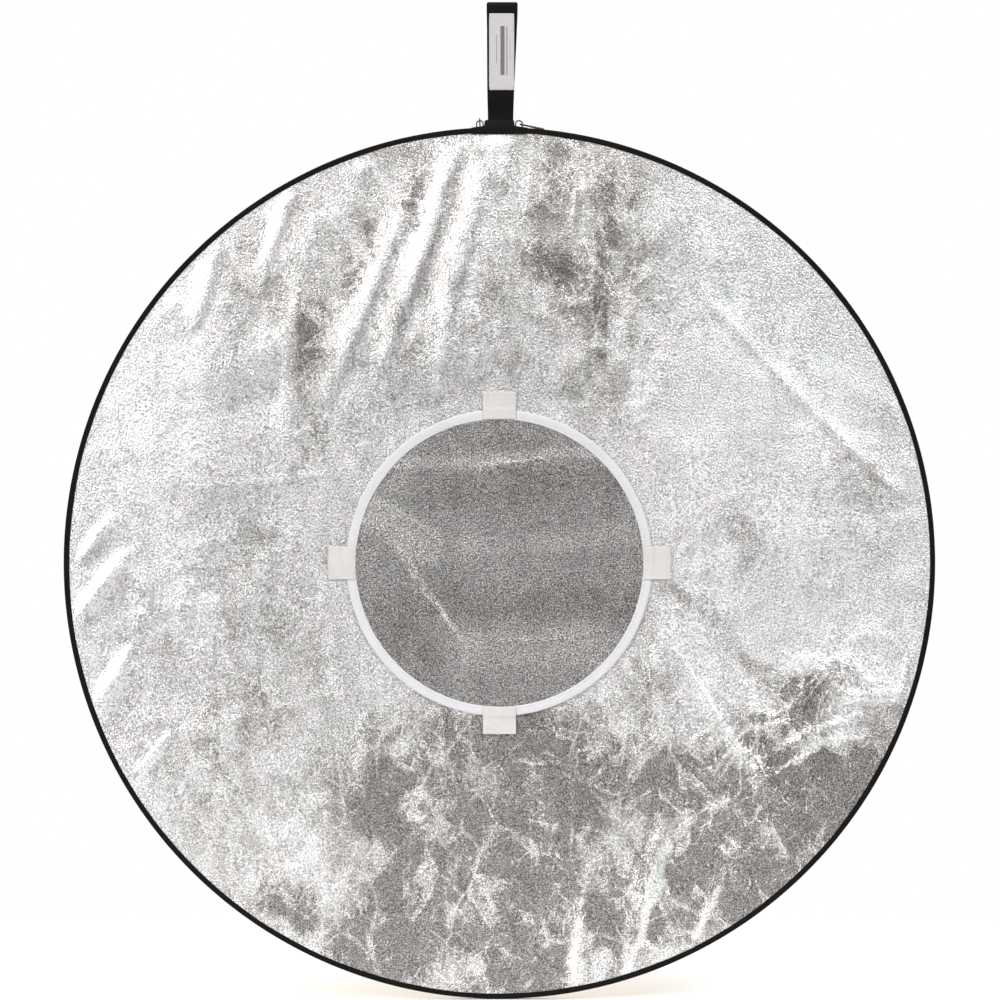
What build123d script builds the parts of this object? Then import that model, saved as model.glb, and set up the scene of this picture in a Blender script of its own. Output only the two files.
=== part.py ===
from build123d import *
import os

# A collapsible photographic reflector disc, held upright, with a shoot-through port in its middle.
#
# A spring-steel hoop in a sewn hem stretches a translucent diffuser. A two-sided cover, silver in
# front and gold behind, zips shut around it: the zip runs all the way round the rim, from one side
# of the carrying handle to the other, with a slider at each end. A round port goes through both
# cover panels and the diffuser. A removable insert, silver with a white sewn edge, plugs the port
# from the front and is held by four hook-and-loop tabs.
#
# Frame: millimetres and degrees. The origin is the centre of the port, midway through the
# thickness. +Z points to the handle and +Y out of the back, so the silver face looks along -Y.
# A station on the rim is an angle about Y, 0 at the handle and growing clockwise seen from the front.

# ---- rim and cover ----
RIM_RADIUS = 520.7          # outside of the edge binding, so the disc is 1041.4 across
RIM_HALF_DEPTH = 7.0        # half the thickness over the two edge bindings
RIM_FACE_WIDTH = 6.5        # width of binding that shows on each face
BINDING_WALL = 0.8          # folded binding tape
BINDING_EDGE = 1.0          # binding where it wraps the edge of the panel
BINDING_BEVELS = ((1.5, 0.0), (0.5, 0.4), (0.0, 1.5))   # in from the edge, in from the face
PLY = 0.4                   # each ply of a cover panel
FACE_Y = RIM_HALF_DEPTH - BINDING_WALL      # outer face of a cover panel
LINING_Y = FACE_Y - PLY
INNER_Y = LINING_Y - PLY
PANEL_RADIUS = RIM_RADIUS - BINDING_EDGE

# ---- zip chain between the two bindings ----
COIL_OUTER = RIM_RADIUS - 1.2
COIL_INNER = COIL_OUTER - 2.0
COIL_HALF_GAP = 0.7         # the slider's web runs in the gap between the coils
COIL_HALF_WIDTH = 2.9
COIL_ROUNDS = (0.7, 0.5)    # towards the tape's edge, and towards the other coil
TAPE_INNER = COIL_INNER - 0.6
TAPE_HALF_GAP = 1.2
BINDING_INNER_EDGE_Y = 4.7  # how near the binding comes to the middle of the rim
CHAIN_GAP_DEG = 1.3         # half the gap in the chain, under the handle
STOP_SPAN_DEG = 0.3
STOP_GAP_DEG = 0.05

# ---- hoop, hem and diffuser ----
HEM_OUTER = 514.1
HEM_INNER = 510.0
HEM_HALF_DEPTH = 4.8
HEM_WALL = 0.6
HEM_LEG_INNER = 503.0       # the hem's two legs grip the diffuser from here outwards
HEM_LEG_Y = 0.8
DIFFUSER_HALF = 0.2
HOOP_OUTER = 513.0
HOOP_THICKNESS = 0.8
HOOP_HALF_WIDTH = 3.0
HOOP_GAP_DEG = 0.2
SLEEVE_SPAN_DEG = 4.4
SLEEVE_WALL = 0.4
CRIMP_OFFSETS_DEG = (-1.6, -1.1, 1.1, 1.6)
CRIMP_SPAN_DEG = 0.15
CLOTH_IN_HEM_GAP = 0.1      # the diffuser's edge stops this short of the hoop's channel

# ---- port ----
PORT_RADIUS = 176.0
PORT_TAPE_WIDTH = 6.0
PORT_TAPE_WALL = 0.6
PORT_LIP = 1.0              # tape between the port and the edge of the cloth
PORT_TAPE_ROUND = 0.3

# ---- insert ----
INSERT_RING_INNER = 171.6
INSERT_RING_OUTER = 183.0
INSERT_BACK_Y = -7.3
INSERT_FRONT_Y = -9.9
INSERT_HOOP_RADIUS = 180.3
INSERT_WIRE_RADIUS = 0.8
INSERT_CHANNEL_RADIUS = 1.2
INSERT_SLEEVE_RADIUS = 1.1
INSERT_SLEEVE_SPAN_DEG = 5.0
INSERT_SPLICE_GAP_DEG = 0.4
INSERT_PANEL_LIP = 3.3      # how far the cloth reaches into the white edge
INSERT_PLY = 0.3
INSERT_RING_ROUNDS = (0.3, 1.0, 0.6, 0.3)   # front inner, front outer, back outer, back inner

# ---- hook-and-loop tabs ----
TAB_HALF_WIDTH = 20.0
TAB_OUTER = 204.5
TAB_ROOT_OUTER = 182.8
TAB_FLAP_INNER = 184.8
TAB_THICKNESS = 0.8
TAB_FLAP_FRONT_Y = -10.0
TAB_FLAP_BACK_Y = -9.0
HOOK_BACK_Y = -7.6
LOOP_THICKNESS = 1.0
PATCH_HALF_WIDTH = 18.5
PATCH_INNER = 186.0
PATCH_OUTER = 203.0
TAB_STATIONS = {"top": 0, "right": 90, "bottom": 180, "left": 270}

# ---- zip sliders and pulls ----
SLIDER_STATION_DEG = 2.55
SLIDER_LENGTH = 11.6
SLIDER_HEAD_HALF_WIDTH = 4.2
SLIDER_TAIL_HALF_WIDTH = 3.7
SLIDER_PLATE = 1.2
SLIDER_OUTER_Z = COIL_OUTER + 0.4
SLIDER_INNER_Z = TAPE_INNER - 0.5 - SLIDER_PLATE
SLIDER_FLANGE_DEPTH = 1.2
SLIDER_FLANGE_WALL = 0.5
SLIDER_WEB_HALF = 0.3
SLIDER_WEB_FROM_HEAD = (0.8, 4.2)
SLIDER_CORNER_SIDE = 1.0    # the head's corners are cut off by this much across
SLIDER_CORNER_ALONG = 2.0   # and this much along
SLIDER_HEAD_ROUND = 0.6
SLIDER_CORNER_ROUND = 0.8
SLIDER_TAIL_ROUND = 1.0
SLIDER_LIP_ENDS = (2.0, 1.5)    # the lips stop this short of the head and of the tail
CROWN_LEG = 4.2             # from the outer plate up to the middle of the arch
CROWN_CENTRE_Z = SLIDER_OUTER_Z + SLIDER_PLATE + CROWN_LEG
CROWN_INNER_RADIUS = 3.2
CROWN_OUTER_RADIUS = 4.7
CROWN_MID_RADIUS = (CROWN_INNER_RADIUS + CROWN_OUTER_RADIUS) / 2
CROWN_HALF_WIDTH = 1.1
CROWN_RAMP_HEIGHT = 2.2     # the arch runs down to the tail in a short ramp
CROWN_RAMP_OVERLAP = 0.3
PULL_EYE_OUTER = 3.1
PULL_EYE_INNER = 1.7
PULL_LENGTH = 27.0          # from the middle of the eye to the tail
PULL_NECK_START = 1.9       # the neck runs between these two, measured from the middle of the eye
PULL_NECK_END = 7.1
PULL_NECK_HALF_WIDTH = 1.8
PULL_SHOULDER = 10.1        # where the pull has widened almost to its full width
PULL_SHOULDER_HALF_WIDTH = 3.1
PULL_HALF_WIDTH = 3.7
PULL_HALF_THICKNESS = 0.8
PULL_ROUND = 2.0
PULL_TAIL_ROUND = 2.4
PULL_SLOT_FROM_TAIL = 5.0
PULL_SLOT = (4.5, 3.2)
PULL_SLOT_ROUND = 1.4
RIGHT_PULL_TILT_DEG = 9.5   # the right pull lies along the rim, its tail just above the coils
RIGHT_PULL_ROLL_DEG = 12.0  # and it is rolled a little, its back edge raised
LEFT_PULL_TILT_DEG = 28.0   # the left pull has flopped over the back edge of the rim

# ---- handle ----
BASE_TOP_Z = 529.5
BASE_HALF_WIDTH = 16.5
BASE_TOP_HALF_DEPTH = 2.3
FLANGE_HALF_WIDTH = 34.0
FLANGE_SHOULDER = 5.0       # from the wedge to where the flange meets the rim's edge
FLANGE_THICKNESS = 0.8
FLANGE_BELOW_BINDING = 2.0
FLANGE_END_DROP = 1.4       # the flange's ends stop this far below the top of the rim
FLANGE_SHOULDER_RISE = 0.3
FLANGE_WEDGE_RISE = 1.5
FLANGE_CORNER = 1.0
FLANGE_SHOULDER_ROUND = 3.0
RIM_CLEARANCE = 0.05
STRAP_CLEARANCE = 0.1
WEBBING = 1.5
TAIL_TOP_Z = BASE_TOP_Z + 0.5
HINGE_Z = BASE_TOP_Z + 3.0  # where the webbing flexes when the loop flops over
STRAP_BOTTOM_Z = HINGE_Z
STRAP_TOP_Z = 670.7
STRAP_BASE_HALF_WIDTH = 15.5
STRAP_TOP_HALF_WIDTH = 19.0
STRAP_BASE_HALF_DEPTH = 1.6
STRAP_LOOP_HALF_DEPTH = 6.0
STRAP_CORNER = 4.0
STRAP_GATHERED = 5.0        # the two plies lie together up to here, above the bottom of the loop
STRAP_SPREAD = 24.0         # and have spread to their full depth here
STRAP_BEND = 15.0
STRAP_INNER_BEND = 12.0
STRAP_CROTCH = 3.0          # the plies part this far above the gathered part
STRAP_CROTCH_ROUND = 0.3
STRAP_INNER_LAG = 1.0
STRAP_FLAT_LEFT = 0.1       # flat left at the top of the loop, between its two rounds
LABEL_HALF_WIDTH = 15.0
LABEL_BOTTOM_Z = 565.0
LABEL_TOP_Z = 656.5
LABEL_THICKNESS = 0.4


def outline(points, radii=0):
    """A closed face in the XY plane with each corner rounded by its radius."""
    if not isinstance(radii, (list, tuple)):
        radii = [radii] * len(points)
    if not any(radii):
        return make_face(Polyline(*points, close=True))
    return make_face(FilletPolyline(*points, radius=radii, close=True))


def box_between(low, high):
    """A box from its lowest to its highest corner."""
    size = [b - a for a, b in zip(low, high)]
    centre = [(a + b) / 2 for a, b in zip(low, high)]
    return Pos(*centre) * Box(*size)


def radial_band(r_low, r_high, y_low, y_high):
    """The section of a plain ring: X is the radius and Y runs along the disc's axis."""
    return outline([(r_low, y_low), (r_high, y_low), (r_high, y_high), (r_low, y_high)])


def ring(section, span_deg=360.0, centre_deg=0.0):
    """A section turned about the disc's axis. A part turn is centred on the station centre_deg."""
    solid = revolve(section, Axis.Y, span_deg)
    return Rot(0, centre_deg - 90 - span_deg / 2, 0) * solid


def at_station(shape, station_deg):
    """Moves a shape that is modelled at the handle to another station."""
    return Rot(0, station_deg, 0) * shape


def to_back(shape):
    """The back cover's twin of a piece of the front cover."""
    return mirror(shape, Plane.XZ)


# ---- frame and diffuser ----

def spring_hoop():
    """The flat spring band, standing on edge, its ends butted inside the sleeve."""
    section = radial_band(HOOP_OUTER - HOOP_THICKNESS, HOOP_OUTER, -HOOP_HALF_WIDTH, HOOP_HALF_WIDTH)
    return ring(section, 360 - HOOP_GAP_DEG)


def hoop_sleeve():
    """A crimped steel sleeve that joins the two ends of the band at the bottom of the disc."""
    outer_r = HOOP_OUTER + SLEEVE_WALL
    inner_r = HOOP_OUTER - HOOP_THICKNESS - SLEEVE_WALL
    half = HOOP_HALF_WIDTH + SLEEVE_WALL
    section = radial_band(inner_r, outer_r, -half, half)
    section -= radial_band(HOOP_OUTER - HOOP_THICKNESS, HOOP_OUTER, -HOOP_HALF_WIDTH, HOOP_HALF_WIDTH)
    sleeve = ring(section, SLEEVE_SPAN_DEG, 180)
    groove_section = radial_band(inner_r - SLEEVE_WALL, inner_r + SLEEVE_WALL / 2, -half / 2, half / 2)
    for offset in CRIMP_OFFSETS_DEG:
        sleeve -= ring(groove_section, CRIMP_SPAN_DEG, 180 + offset)
    return sleeve


def diffuser_hem():
    """Tape folded round the hoop: a channel, and two legs that hold the diffuser between them."""
    section = radial_band(HEM_LEG_INNER, HEM_INNER, -HEM_LEG_Y, HEM_LEG_Y)
    section += radial_band(HEM_INNER, HEM_OUTER, -HEM_HALF_DEPTH, HEM_HALF_DEPTH)
    channel_half = HEM_HALF_DEPTH - HEM_WALL
    section -= radial_band(HEM_INNER + HEM_WALL, HEM_OUTER - HEM_WALL, -channel_half, channel_half)
    cloth_edge = HEM_INNER - CLOTH_IN_HEM_GAP
    section -= radial_band(HEM_LEG_INNER - HEM_WALL, cloth_edge, -DIFFUSER_HALF, DIFFUSER_HALF)
    return ring(section)


def diffuser_panel():
    """The translucent cloth, from the port tape to the hem."""
    cloth_edge = HEM_INNER - CLOTH_IN_HEM_GAP
    return ring(radial_band(PORT_RADIUS + PORT_LIP, cloth_edge, -DIFFUSER_HALF, DIFFUSER_HALF))


def port_tape(y_low, y_high, cloth_low, cloth_high):
    """Tape folded over the edge of a port, with a slot for the cloth that it binds."""
    tape_outer = PORT_RADIUS + PORT_TAPE_WIDTH
    corners = [(PORT_RADIUS, y_low), (tape_outer, y_low), (tape_outer, y_high), (PORT_RADIUS, y_high)]
    section = outline(corners, [0, PORT_TAPE_ROUND, PORT_TAPE_ROUND, 0])
    section -= radial_band(PORT_RADIUS + PORT_LIP, tape_outer + PORT_LIP, cloth_low, cloth_high)
    return ring(section)


# ---- cover ----

def cover_ply(y_low, y_high):
    """One ply of the front panel."""
    return ring(radial_band(PORT_RADIUS + PORT_LIP, PANEL_RADIUS, y_low, y_high))


def rim_binding():
    """The front edge binding: it wraps the panel's edge and lies on the edge of the zip tape."""
    bevels = [(RIM_RADIUS - r, y - RIM_HALF_DEPTH) for r, y in BINDING_BEVELS]
    wrap = [
        (RIM_RADIUS, -BINDING_INNER_EDGE_Y),
        (COIL_INNER, -BINDING_INNER_EDGE_Y),
        (COIL_INNER, -INNER_Y),
        (PANEL_RADIUS, -INNER_Y),
        (PANEL_RADIUS, -FACE_Y),
        (RIM_RADIUS - RIM_FACE_WIDTH, -FACE_Y),
        (RIM_RADIUS - RIM_FACE_WIDTH, -RIM_HALF_DEPTH),
    ]
    return ring(outline(bevels + wrap))


def chain_ring(section):
    """A part of the zip chain, which stops short of the handle on both sides."""
    return ring(section, 360 - 2 * CHAIN_GAP_DEG, 180)


def zip_tape():
    return chain_ring(radial_band(TAPE_INNER, COIL_INNER, -INNER_Y, -TAPE_HALF_GAP))


def zip_coil():
    corners = [
        (COIL_INNER, -COIL_HALF_WIDTH),
        (COIL_OUTER, -COIL_HALF_WIDTH),
        (COIL_OUTER, -COIL_HALF_GAP),
        (COIL_INNER, -COIL_HALF_GAP),
    ]
    return chain_ring(outline(corners, [0, *COIL_ROUNDS, 0]))


def zip_end_stops():
    """Four small stops, one at each end of each coil."""
    section = radial_band(COIL_INNER, COIL_OUTER, -COIL_HALF_WIDTH, -COIL_HALF_GAP)
    station = CHAIN_GAP_DEG - STOP_SPAN_DEG / 2 - STOP_GAP_DEG
    front = [ring(section, STOP_SPAN_DEG, side * station) for side in (-1, 1)]
    return Compound(children=front + [to_back(stop) for stop in front])


def loop_patches():
    """The four loop patches sewn to the front cover where the insert's tabs land."""
    low = (-PATCH_HALF_WIDTH, -FACE_Y - LOOP_THICKNESS, PATCH_INNER)
    high = (PATCH_HALF_WIDTH, -FACE_Y, PATCH_OUTER)
    patch = box_between(low, high)
    return Compound(children=[at_station(patch, s) for s in TAB_STATIONS.values()])


# ---- insert ----

def insert_ring():
    """The insert's sewn white edge, with the channel for its wire and the slot for its cloth."""
    section = outline(
        [
            (INSERT_RING_INNER, INSERT_FRONT_Y),
            (INSERT_RING_OUTER, INSERT_FRONT_Y),
            (INSERT_RING_OUTER, INSERT_BACK_Y),
            (INSERT_RING_INNER, INSERT_BACK_Y),
        ],
        INSERT_RING_ROUNDS,
    )
    mid_y = (INSERT_FRONT_Y + INSERT_BACK_Y) / 2
    section -= Pos(INSERT_HOOP_RADIUS, mid_y) * Circle(INSERT_CHANNEL_RADIUS)
    slot_inner = INSERT_RING_INNER - INSERT_PANEL_LIP
    slot_outer = INSERT_RING_INNER + INSERT_PANEL_LIP
    section -= radial_band(slot_inner, slot_outer, mid_y - INSERT_PLY, mid_y + INSERT_PLY)
    return ring(section)


def insert_hoop():
    """The insert's spring wire, with its splice at the bottom."""
    mid_y = (INSERT_FRONT_Y + INSERT_BACK_Y) / 2
    section = Pos(INSERT_HOOP_RADIUS, mid_y) * Circle(INSERT_WIRE_RADIUS)
    return ring(section, 360 - INSERT_SPLICE_GAP_DEG)


def insert_hoop_sleeve():
    mid_y = (INSERT_FRONT_Y + INSERT_BACK_Y) / 2
    section = Circle(INSERT_SLEEVE_RADIUS) - Circle(INSERT_WIRE_RADIUS)
    return ring(Pos(INSERT_HOOP_RADIUS, mid_y) * section, INSERT_SLEEVE_SPAN_DEG, 180)


def insert_ply(side):
    """One ply of the insert's cloth: side is -1 for the silver front and 1 for the reverse."""
    mid_y = (INSERT_FRONT_Y + INSERT_BACK_Y) / 2
    disc = Cylinder(INSERT_RING_INNER + INSERT_PANEL_LIP, INSERT_PLY)
    return Pos(0, mid_y + side * INSERT_PLY / 2, 0) * Rot(90, 0, 0) * disc


def insert_tab_roots():
    """The sewn roots of the four tabs, which lie across the insert's white edge."""
    root_front_y = INSERT_FRONT_Y - TAB_THICKNESS
    band = ring(radial_band(INSERT_RING_INNER, TAB_ROOT_OUTER, root_front_y, INSERT_FRONT_Y))
    cutter = box_between((-TAB_HALF_WIDTH, -TAB_OUTER, 0), (TAB_HALF_WIDTH, 0, TAB_OUTER))
    root = band & cutter
    return Compound(children=[at_station(root, s) for s in TAB_STATIONS.values()])


def tab_flap():
    """The free half of a tab, which peels forwards off the cover."""
    low = (-TAB_HALF_WIDTH, TAB_FLAP_FRONT_Y, TAB_FLAP_INNER)
    high = (TAB_HALF_WIDTH, TAB_FLAP_BACK_Y, TAB_OUTER)
    return box_between(low, high)


def hook_patch():
    """The hook patch sewn to the underside of a flap."""
    low = (-PATCH_HALF_WIDTH, TAB_FLAP_BACK_Y, PATCH_INNER)
    high = (PATCH_HALF_WIDTH, HOOK_BACK_Y, PATCH_OUTER)
    return box_between(low, high)


# ---- zip sliders ----

def slider_plate(z_low):
    """A slider's inner or outer plate, wider at the head, which is on the handle side."""
    half = SLIDER_LENGTH / 2
    waist = (SLIDER_HEAD_HALF_WIDTH + SLIDER_TAIL_HALF_WIDTH) / 2
    head_end = (-half, SLIDER_HEAD_HALF_WIDTH - SLIDER_CORNER_SIDE)
    head_side = (-half + SLIDER_CORNER_ALONG, SLIDER_HEAD_HALF_WIDTH)
    one_side = [head_end, head_side, (0, waist), (half, SLIDER_TAIL_HALF_WIDTH)]
    rounds = [SLIDER_HEAD_ROUND, SLIDER_CORNER_ROUND, 0, SLIDER_TAIL_ROUND]
    other_side = [(x, -y) for x, y in one_side]
    face = outline(other_side + one_side[::-1], rounds + rounds[::-1])
    return Pos(0, 0, z_low) * extrude(face, SLIDER_PLATE)


def slider_body():
    """Both plates, the lips that hold the coils in, and the web that joins the plates."""
    body = slider_plate(SLIDER_OUTER_Z) + slider_plate(SLIDER_INNER_Z)
    half = SLIDER_LENGTH / 2
    head_gap, tail_gap = SLIDER_LIP_ENDS
    for side in (-1, 1):
        outer_y = side * SLIDER_TAIL_HALF_WIDTH
        inner_y = side * (SLIDER_TAIL_HALF_WIDTH - SLIDER_FLANGE_WALL)
        low = (-half + head_gap, min(outer_y, inner_y), SLIDER_OUTER_Z - SLIDER_FLANGE_DEPTH)
        high = (half - tail_gap, max(outer_y, inner_y), SLIDER_OUTER_Z)
        body += box_between(low, high)
    web_start, web_end = SLIDER_WEB_FROM_HEAD
    web_low = (-half + web_start, -SLIDER_WEB_HALF, SLIDER_INNER_Z)
    web_high = (-half + web_end, SLIDER_WEB_HALF, SLIDER_OUTER_Z + SLIDER_PLATE)
    return body + box_between(web_low, web_high)


def slider_crown():
    """The stamped arch on the outer plate that the pull hangs from, with a ramp on its tail side."""
    legs = Pos(0, -CROWN_LEG / 2) * Rectangle(2 * CROWN_OUTER_RADIUS, CROWN_LEG)
    ramp_start = CROWN_OUTER_RADIUS - CROWN_RAMP_OVERLAP
    ramp_top = CROWN_RAMP_HEIGHT - CROWN_LEG
    ramp = outline([(ramp_start, -CROWN_LEG), (SLIDER_LENGTH / 2, -CROWN_LEG), (ramp_start, ramp_top)])
    window = Pos(0, -CROWN_LEG) * Rectangle(2 * CROWN_INNER_RADIUS, 2 * CROWN_LEG)
    depth_below = CROWN_LEG + CROWN_OUTER_RADIUS
    below = Pos(0, -CROWN_LEG - depth_below / 2) * Rectangle(4 * CROWN_OUTER_RADIUS, depth_below)
    section = Circle(CROWN_OUTER_RADIUS) + legs + ramp - Circle(CROWN_INNER_RADIUS) - window - below
    arch = extrude(Plane.XZ * section, CROWN_HALF_WIDTH, both=True)
    return Pos(0, 0, CROWN_CENTRE_Z) * arch


def zip_pull():
    """A flat pull with its eye at the origin and its tail along +X."""
    one_side = [
        (PULL_NECK_START, PULL_NECK_HALF_WIDTH),
        (PULL_NECK_END, PULL_NECK_HALF_WIDTH),
        (PULL_SHOULDER, PULL_SHOULDER_HALF_WIDTH),
        (PULL_LENGTH, PULL_HALF_WIDTH),
    ]
    rounds = [0, PULL_ROUND, PULL_ROUND, PULL_TAIL_ROUND]
    other_side = [(x, -y) for x, y in one_side]
    grip = outline(other_side + one_side[::-1], rounds + rounds[::-1])
    slot = Pos(PULL_LENGTH - PULL_SLOT_FROM_TAIL, 0) * RectangleRounded(*PULL_SLOT, PULL_SLOT_ROUND)
    face = Circle(PULL_EYE_OUTER) + grip - Circle(PULL_EYE_INNER) - slot
    return extrude(face, PULL_HALF_THICKNESS, both=True)


def right_pull():
    """The pull of the right slider, lying along the rim, away from the handle."""
    rolled = Rot(RIGHT_PULL_ROLL_DEG, 0, 0) * zip_pull()
    placed = Rot(0, RIGHT_PULL_TILT_DEG, 0) * Pos(CROWN_MID_RADIUS, 0, 0) * rolled
    return at_station(Pos(0, 0, CROWN_CENTRE_Z) * placed, SLIDER_STATION_DEG)


def left_pull():
    """The pull of the left slider, turned on edge over the crown and resting over the back."""
    turned = Rot(-LEFT_PULL_TILT_DEG, 0, 0) * Rot(0, 90, 0) * Rot(0, 0, 90) * zip_pull()
    placed = Pos(0, 0, CROWN_CENTRE_Z + CROWN_MID_RADIUS) * turned
    return at_station(placed, -SLIDER_STATION_DEG)


# ---- handle ----

def handle_base():
    """A folded patch that straddles the rim: a wedge over the zip's ends and a flange on each face."""
    outer_y = RIM_HALF_DEPTH + FLANGE_THICKNESS
    bottom = Pos(0, 0, RIM_RADIUS) * Rectangle(2 * BASE_HALF_WIDTH, 2 * outer_y)
    top = Pos(0, 0, BASE_TOP_Z) * Rectangle(2 * BASE_HALF_WIDTH, 2 * BASE_TOP_HALF_DEPTH)
    wedge = loft([bottom, top])
    flange_bottom_z = RIM_RADIUS - RIM_FACE_WIDTH - FLANGE_BELOW_BINDING
    right_side = [
        (FLANGE_HALF_WIDTH, flange_bottom_z),
        (FLANGE_HALF_WIDTH, RIM_RADIUS - FLANGE_END_DROP),
        (BASE_HALF_WIDTH + FLANGE_SHOULDER, RIM_RADIUS + FLANGE_SHOULDER_RISE),
        (BASE_HALF_WIDTH, RIM_RADIUS + FLANGE_WEDGE_RISE),
    ]
    left_side = [(-x, z) for x, z in reversed(right_side)]
    rounds = [FLANGE_CORNER, FLANGE_CORNER, FLANGE_SHOULDER_ROUND, 0]
    flange_face = outline(right_side + left_side, rounds + rounds[::-1])
    flange = Pos(0, -RIM_HALF_DEPTH, 0) * extrude(Plane.XZ * flange_face, FLANGE_THICKNESS)
    rim = Rot(90, 0, 0) * Cylinder(RIM_RADIUS + RIM_CLEARANCE, 2 * RIM_HALF_DEPTH)
    slot_half_width = STRAP_BASE_HALF_WIDTH + STRAP_CLEARANCE
    slot_half_depth = WEBBING + STRAP_CLEARANCE
    slot = box_between(
        (-slot_half_width, -slot_half_depth, RIM_RADIUS),
        (slot_half_width, slot_half_depth, TAIL_TOP_Z),
    )
    return wedge + flange + to_back(flange) - rim - slot


def handle_strap_tail():
    """The two sewn ends of the webbing, in the slot of the base."""
    low = (-STRAP_BASE_HALF_WIDTH, -WEBBING, RIM_RADIUS + FLANGE_SHOULDER_RISE)
    return box_between(low, (STRAP_BASE_HALF_WIDTH, WEBBING, TAIL_TOP_Z))


def loop_section(rising, rounds):
    """One closed line of the loop's section, from the points and rounds of its front half."""
    other_half = [(-y, z) for y, z in reversed(rising) if y != 0]
    other_rounds = [r for (y, _), r in zip(reversed(rising), reversed(rounds)) if y != 0]
    return outline(rising + other_half, rounds + other_rounds)


def handle_strap():
    """A flattened loop of webbing, narrower where it is gathered at the base."""
    gathered_z = STRAP_BOTTOM_Z + STRAP_GATHERED
    spread_z = STRAP_BOTTOM_Z + STRAP_SPREAD
    outer = loop_section(
        [
            (-STRAP_BASE_HALF_DEPTH, STRAP_BOTTOM_Z),
            (-STRAP_BASE_HALF_DEPTH, gathered_z),
            (-STRAP_LOOP_HALF_DEPTH, spread_z),
            (-STRAP_LOOP_HALF_DEPTH, STRAP_TOP_Z),
        ],
        [0, STRAP_BEND, STRAP_BEND, STRAP_LOOP_HALF_DEPTH - STRAP_FLAT_LEFT],
    )
    inside = STRAP_LOOP_HALF_DEPTH - WEBBING
    inner = loop_section(
        [
            (0, gathered_z + STRAP_CROTCH),
            (-inside, spread_z + STRAP_INNER_LAG),
            (-inside, STRAP_TOP_Z - WEBBING),
        ],
        [STRAP_CROTCH_ROUND, STRAP_INNER_BEND, inside - STRAP_FLAT_LEFT],
    )
    loop = extrude(Plane.YZ * (outer - inner), STRAP_TOP_HALF_WIDTH, both=True)
    shape = outline(
        [
            (-STRAP_BASE_HALF_WIDTH, STRAP_BOTTOM_Z),
            (STRAP_BASE_HALF_WIDTH, STRAP_BOTTOM_Z),
            (STRAP_TOP_HALF_WIDTH, STRAP_TOP_Z),
            (-STRAP_TOP_HALF_WIDTH, STRAP_TOP_Z),
        ],
        [0, 0, STRAP_CORNER, STRAP_CORNER],
    )
    return loop & extrude(Plane.XZ * shape, 2 * STRAP_LOOP_HALF_DEPTH, both=True)


def handle_label():
    """A plain woven label on the front run of the strap."""
    low = (-LABEL_HALF_WIDTH, -STRAP_LOOP_HALF_DEPTH - LABEL_THICKNESS, LABEL_BOTTOM_Z)
    return box_between(low, (LABEL_HALF_WIDTH, -STRAP_LOOP_HALF_DEPTH, LABEL_TOP_Z))


def frame_and_diffuser():
    return {
        "spring_hoop": spring_hoop(),
        "hoop_sleeve": hoop_sleeve(),
        "diffuser_hem": diffuser_hem(),
        "diffuser_panel": diffuser_panel(),
        "diffuser_port_tape": port_tape(-HEM_LEG_Y, HEM_LEG_Y, -DIFFUSER_HALF, DIFFUSER_HALF),
    }


def cover():
    front = {
        "silver_panel": cover_ply(-FACE_Y, -LINING_Y),
        "white_lining": cover_ply(-LINING_Y, -INNER_Y),
        "front_port_tape": port_tape(-FACE_Y - PORT_TAPE_WALL, -INNER_Y + PORT_TAPE_WALL, -FACE_Y, -INNER_Y),
        "front_rim_binding": rim_binding(),
        "front_zip_tape": zip_tape(),
        "front_zip_coil": zip_coil(),
        "front_loop_patches": loop_patches(),
    }
    back_names = {
        "silver_panel": "gold_panel",
        "white_lining": "black_lining",
    }
    back = {
        back_names.get(name, name.replace("front", "back")): to_back(shape)
        for name, shape in front.items()
    }
    return {**front, **back, "zip_end_stops": zip_end_stops()}


def insert():
    pieces = {
        "insert_silver": insert_ply(-1),
        "insert_reverse": insert_ply(1),
        "insert_ring": insert_ring(),
        "insert_hoop": insert_hoop(),
        "insert_hoop_sleeve": insert_hoop_sleeve(),
        "insert_tab_roots": insert_tab_roots(),
    }
    for side, station in TAB_STATIONS.items():
        pieces[f"tab_{side}"] = at_station(tab_flap(), station)
        pieces[f"hook_patch_{side}"] = at_station(hook_patch(), station)
    return pieces


def zip_sliders():
    left_body, left_crown = (mirror(shape, Plane.YZ) for shape in (slider_body(), slider_crown()))
    return {
        "zip_slider_left": at_station(left_body, -SLIDER_STATION_DEG),
        "zip_slider_right": at_station(slider_body(), SLIDER_STATION_DEG),
        "zip_crown_left": at_station(left_crown, -SLIDER_STATION_DEG),
        "zip_crown_right": at_station(slider_crown(), SLIDER_STATION_DEG),
        "zip_pull_left": left_pull(),
        "zip_pull_right": right_pull(),
    }


def handle():
    return {
        "handle_base": handle_base(),
        "handle_strap_tail": handle_strap_tail(),
        "handle_strap": handle_strap(),
        "handle_label": handle_label(),
    }


def main():
    os.makedirs("parts", exist_ok=True)
    nodes = {**frame_and_diffuser(), **cover(), **insert(), **zip_sliders(), **handle()}
    for name, shape in nodes.items():
        export_step(shape, f"parts/{name}.step")
    print(f"{len(nodes)} nodes")


main()
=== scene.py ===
import math
from functools import reduce

import bmesh
import bpy
import numpy as np
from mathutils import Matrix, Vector, noise


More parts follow.
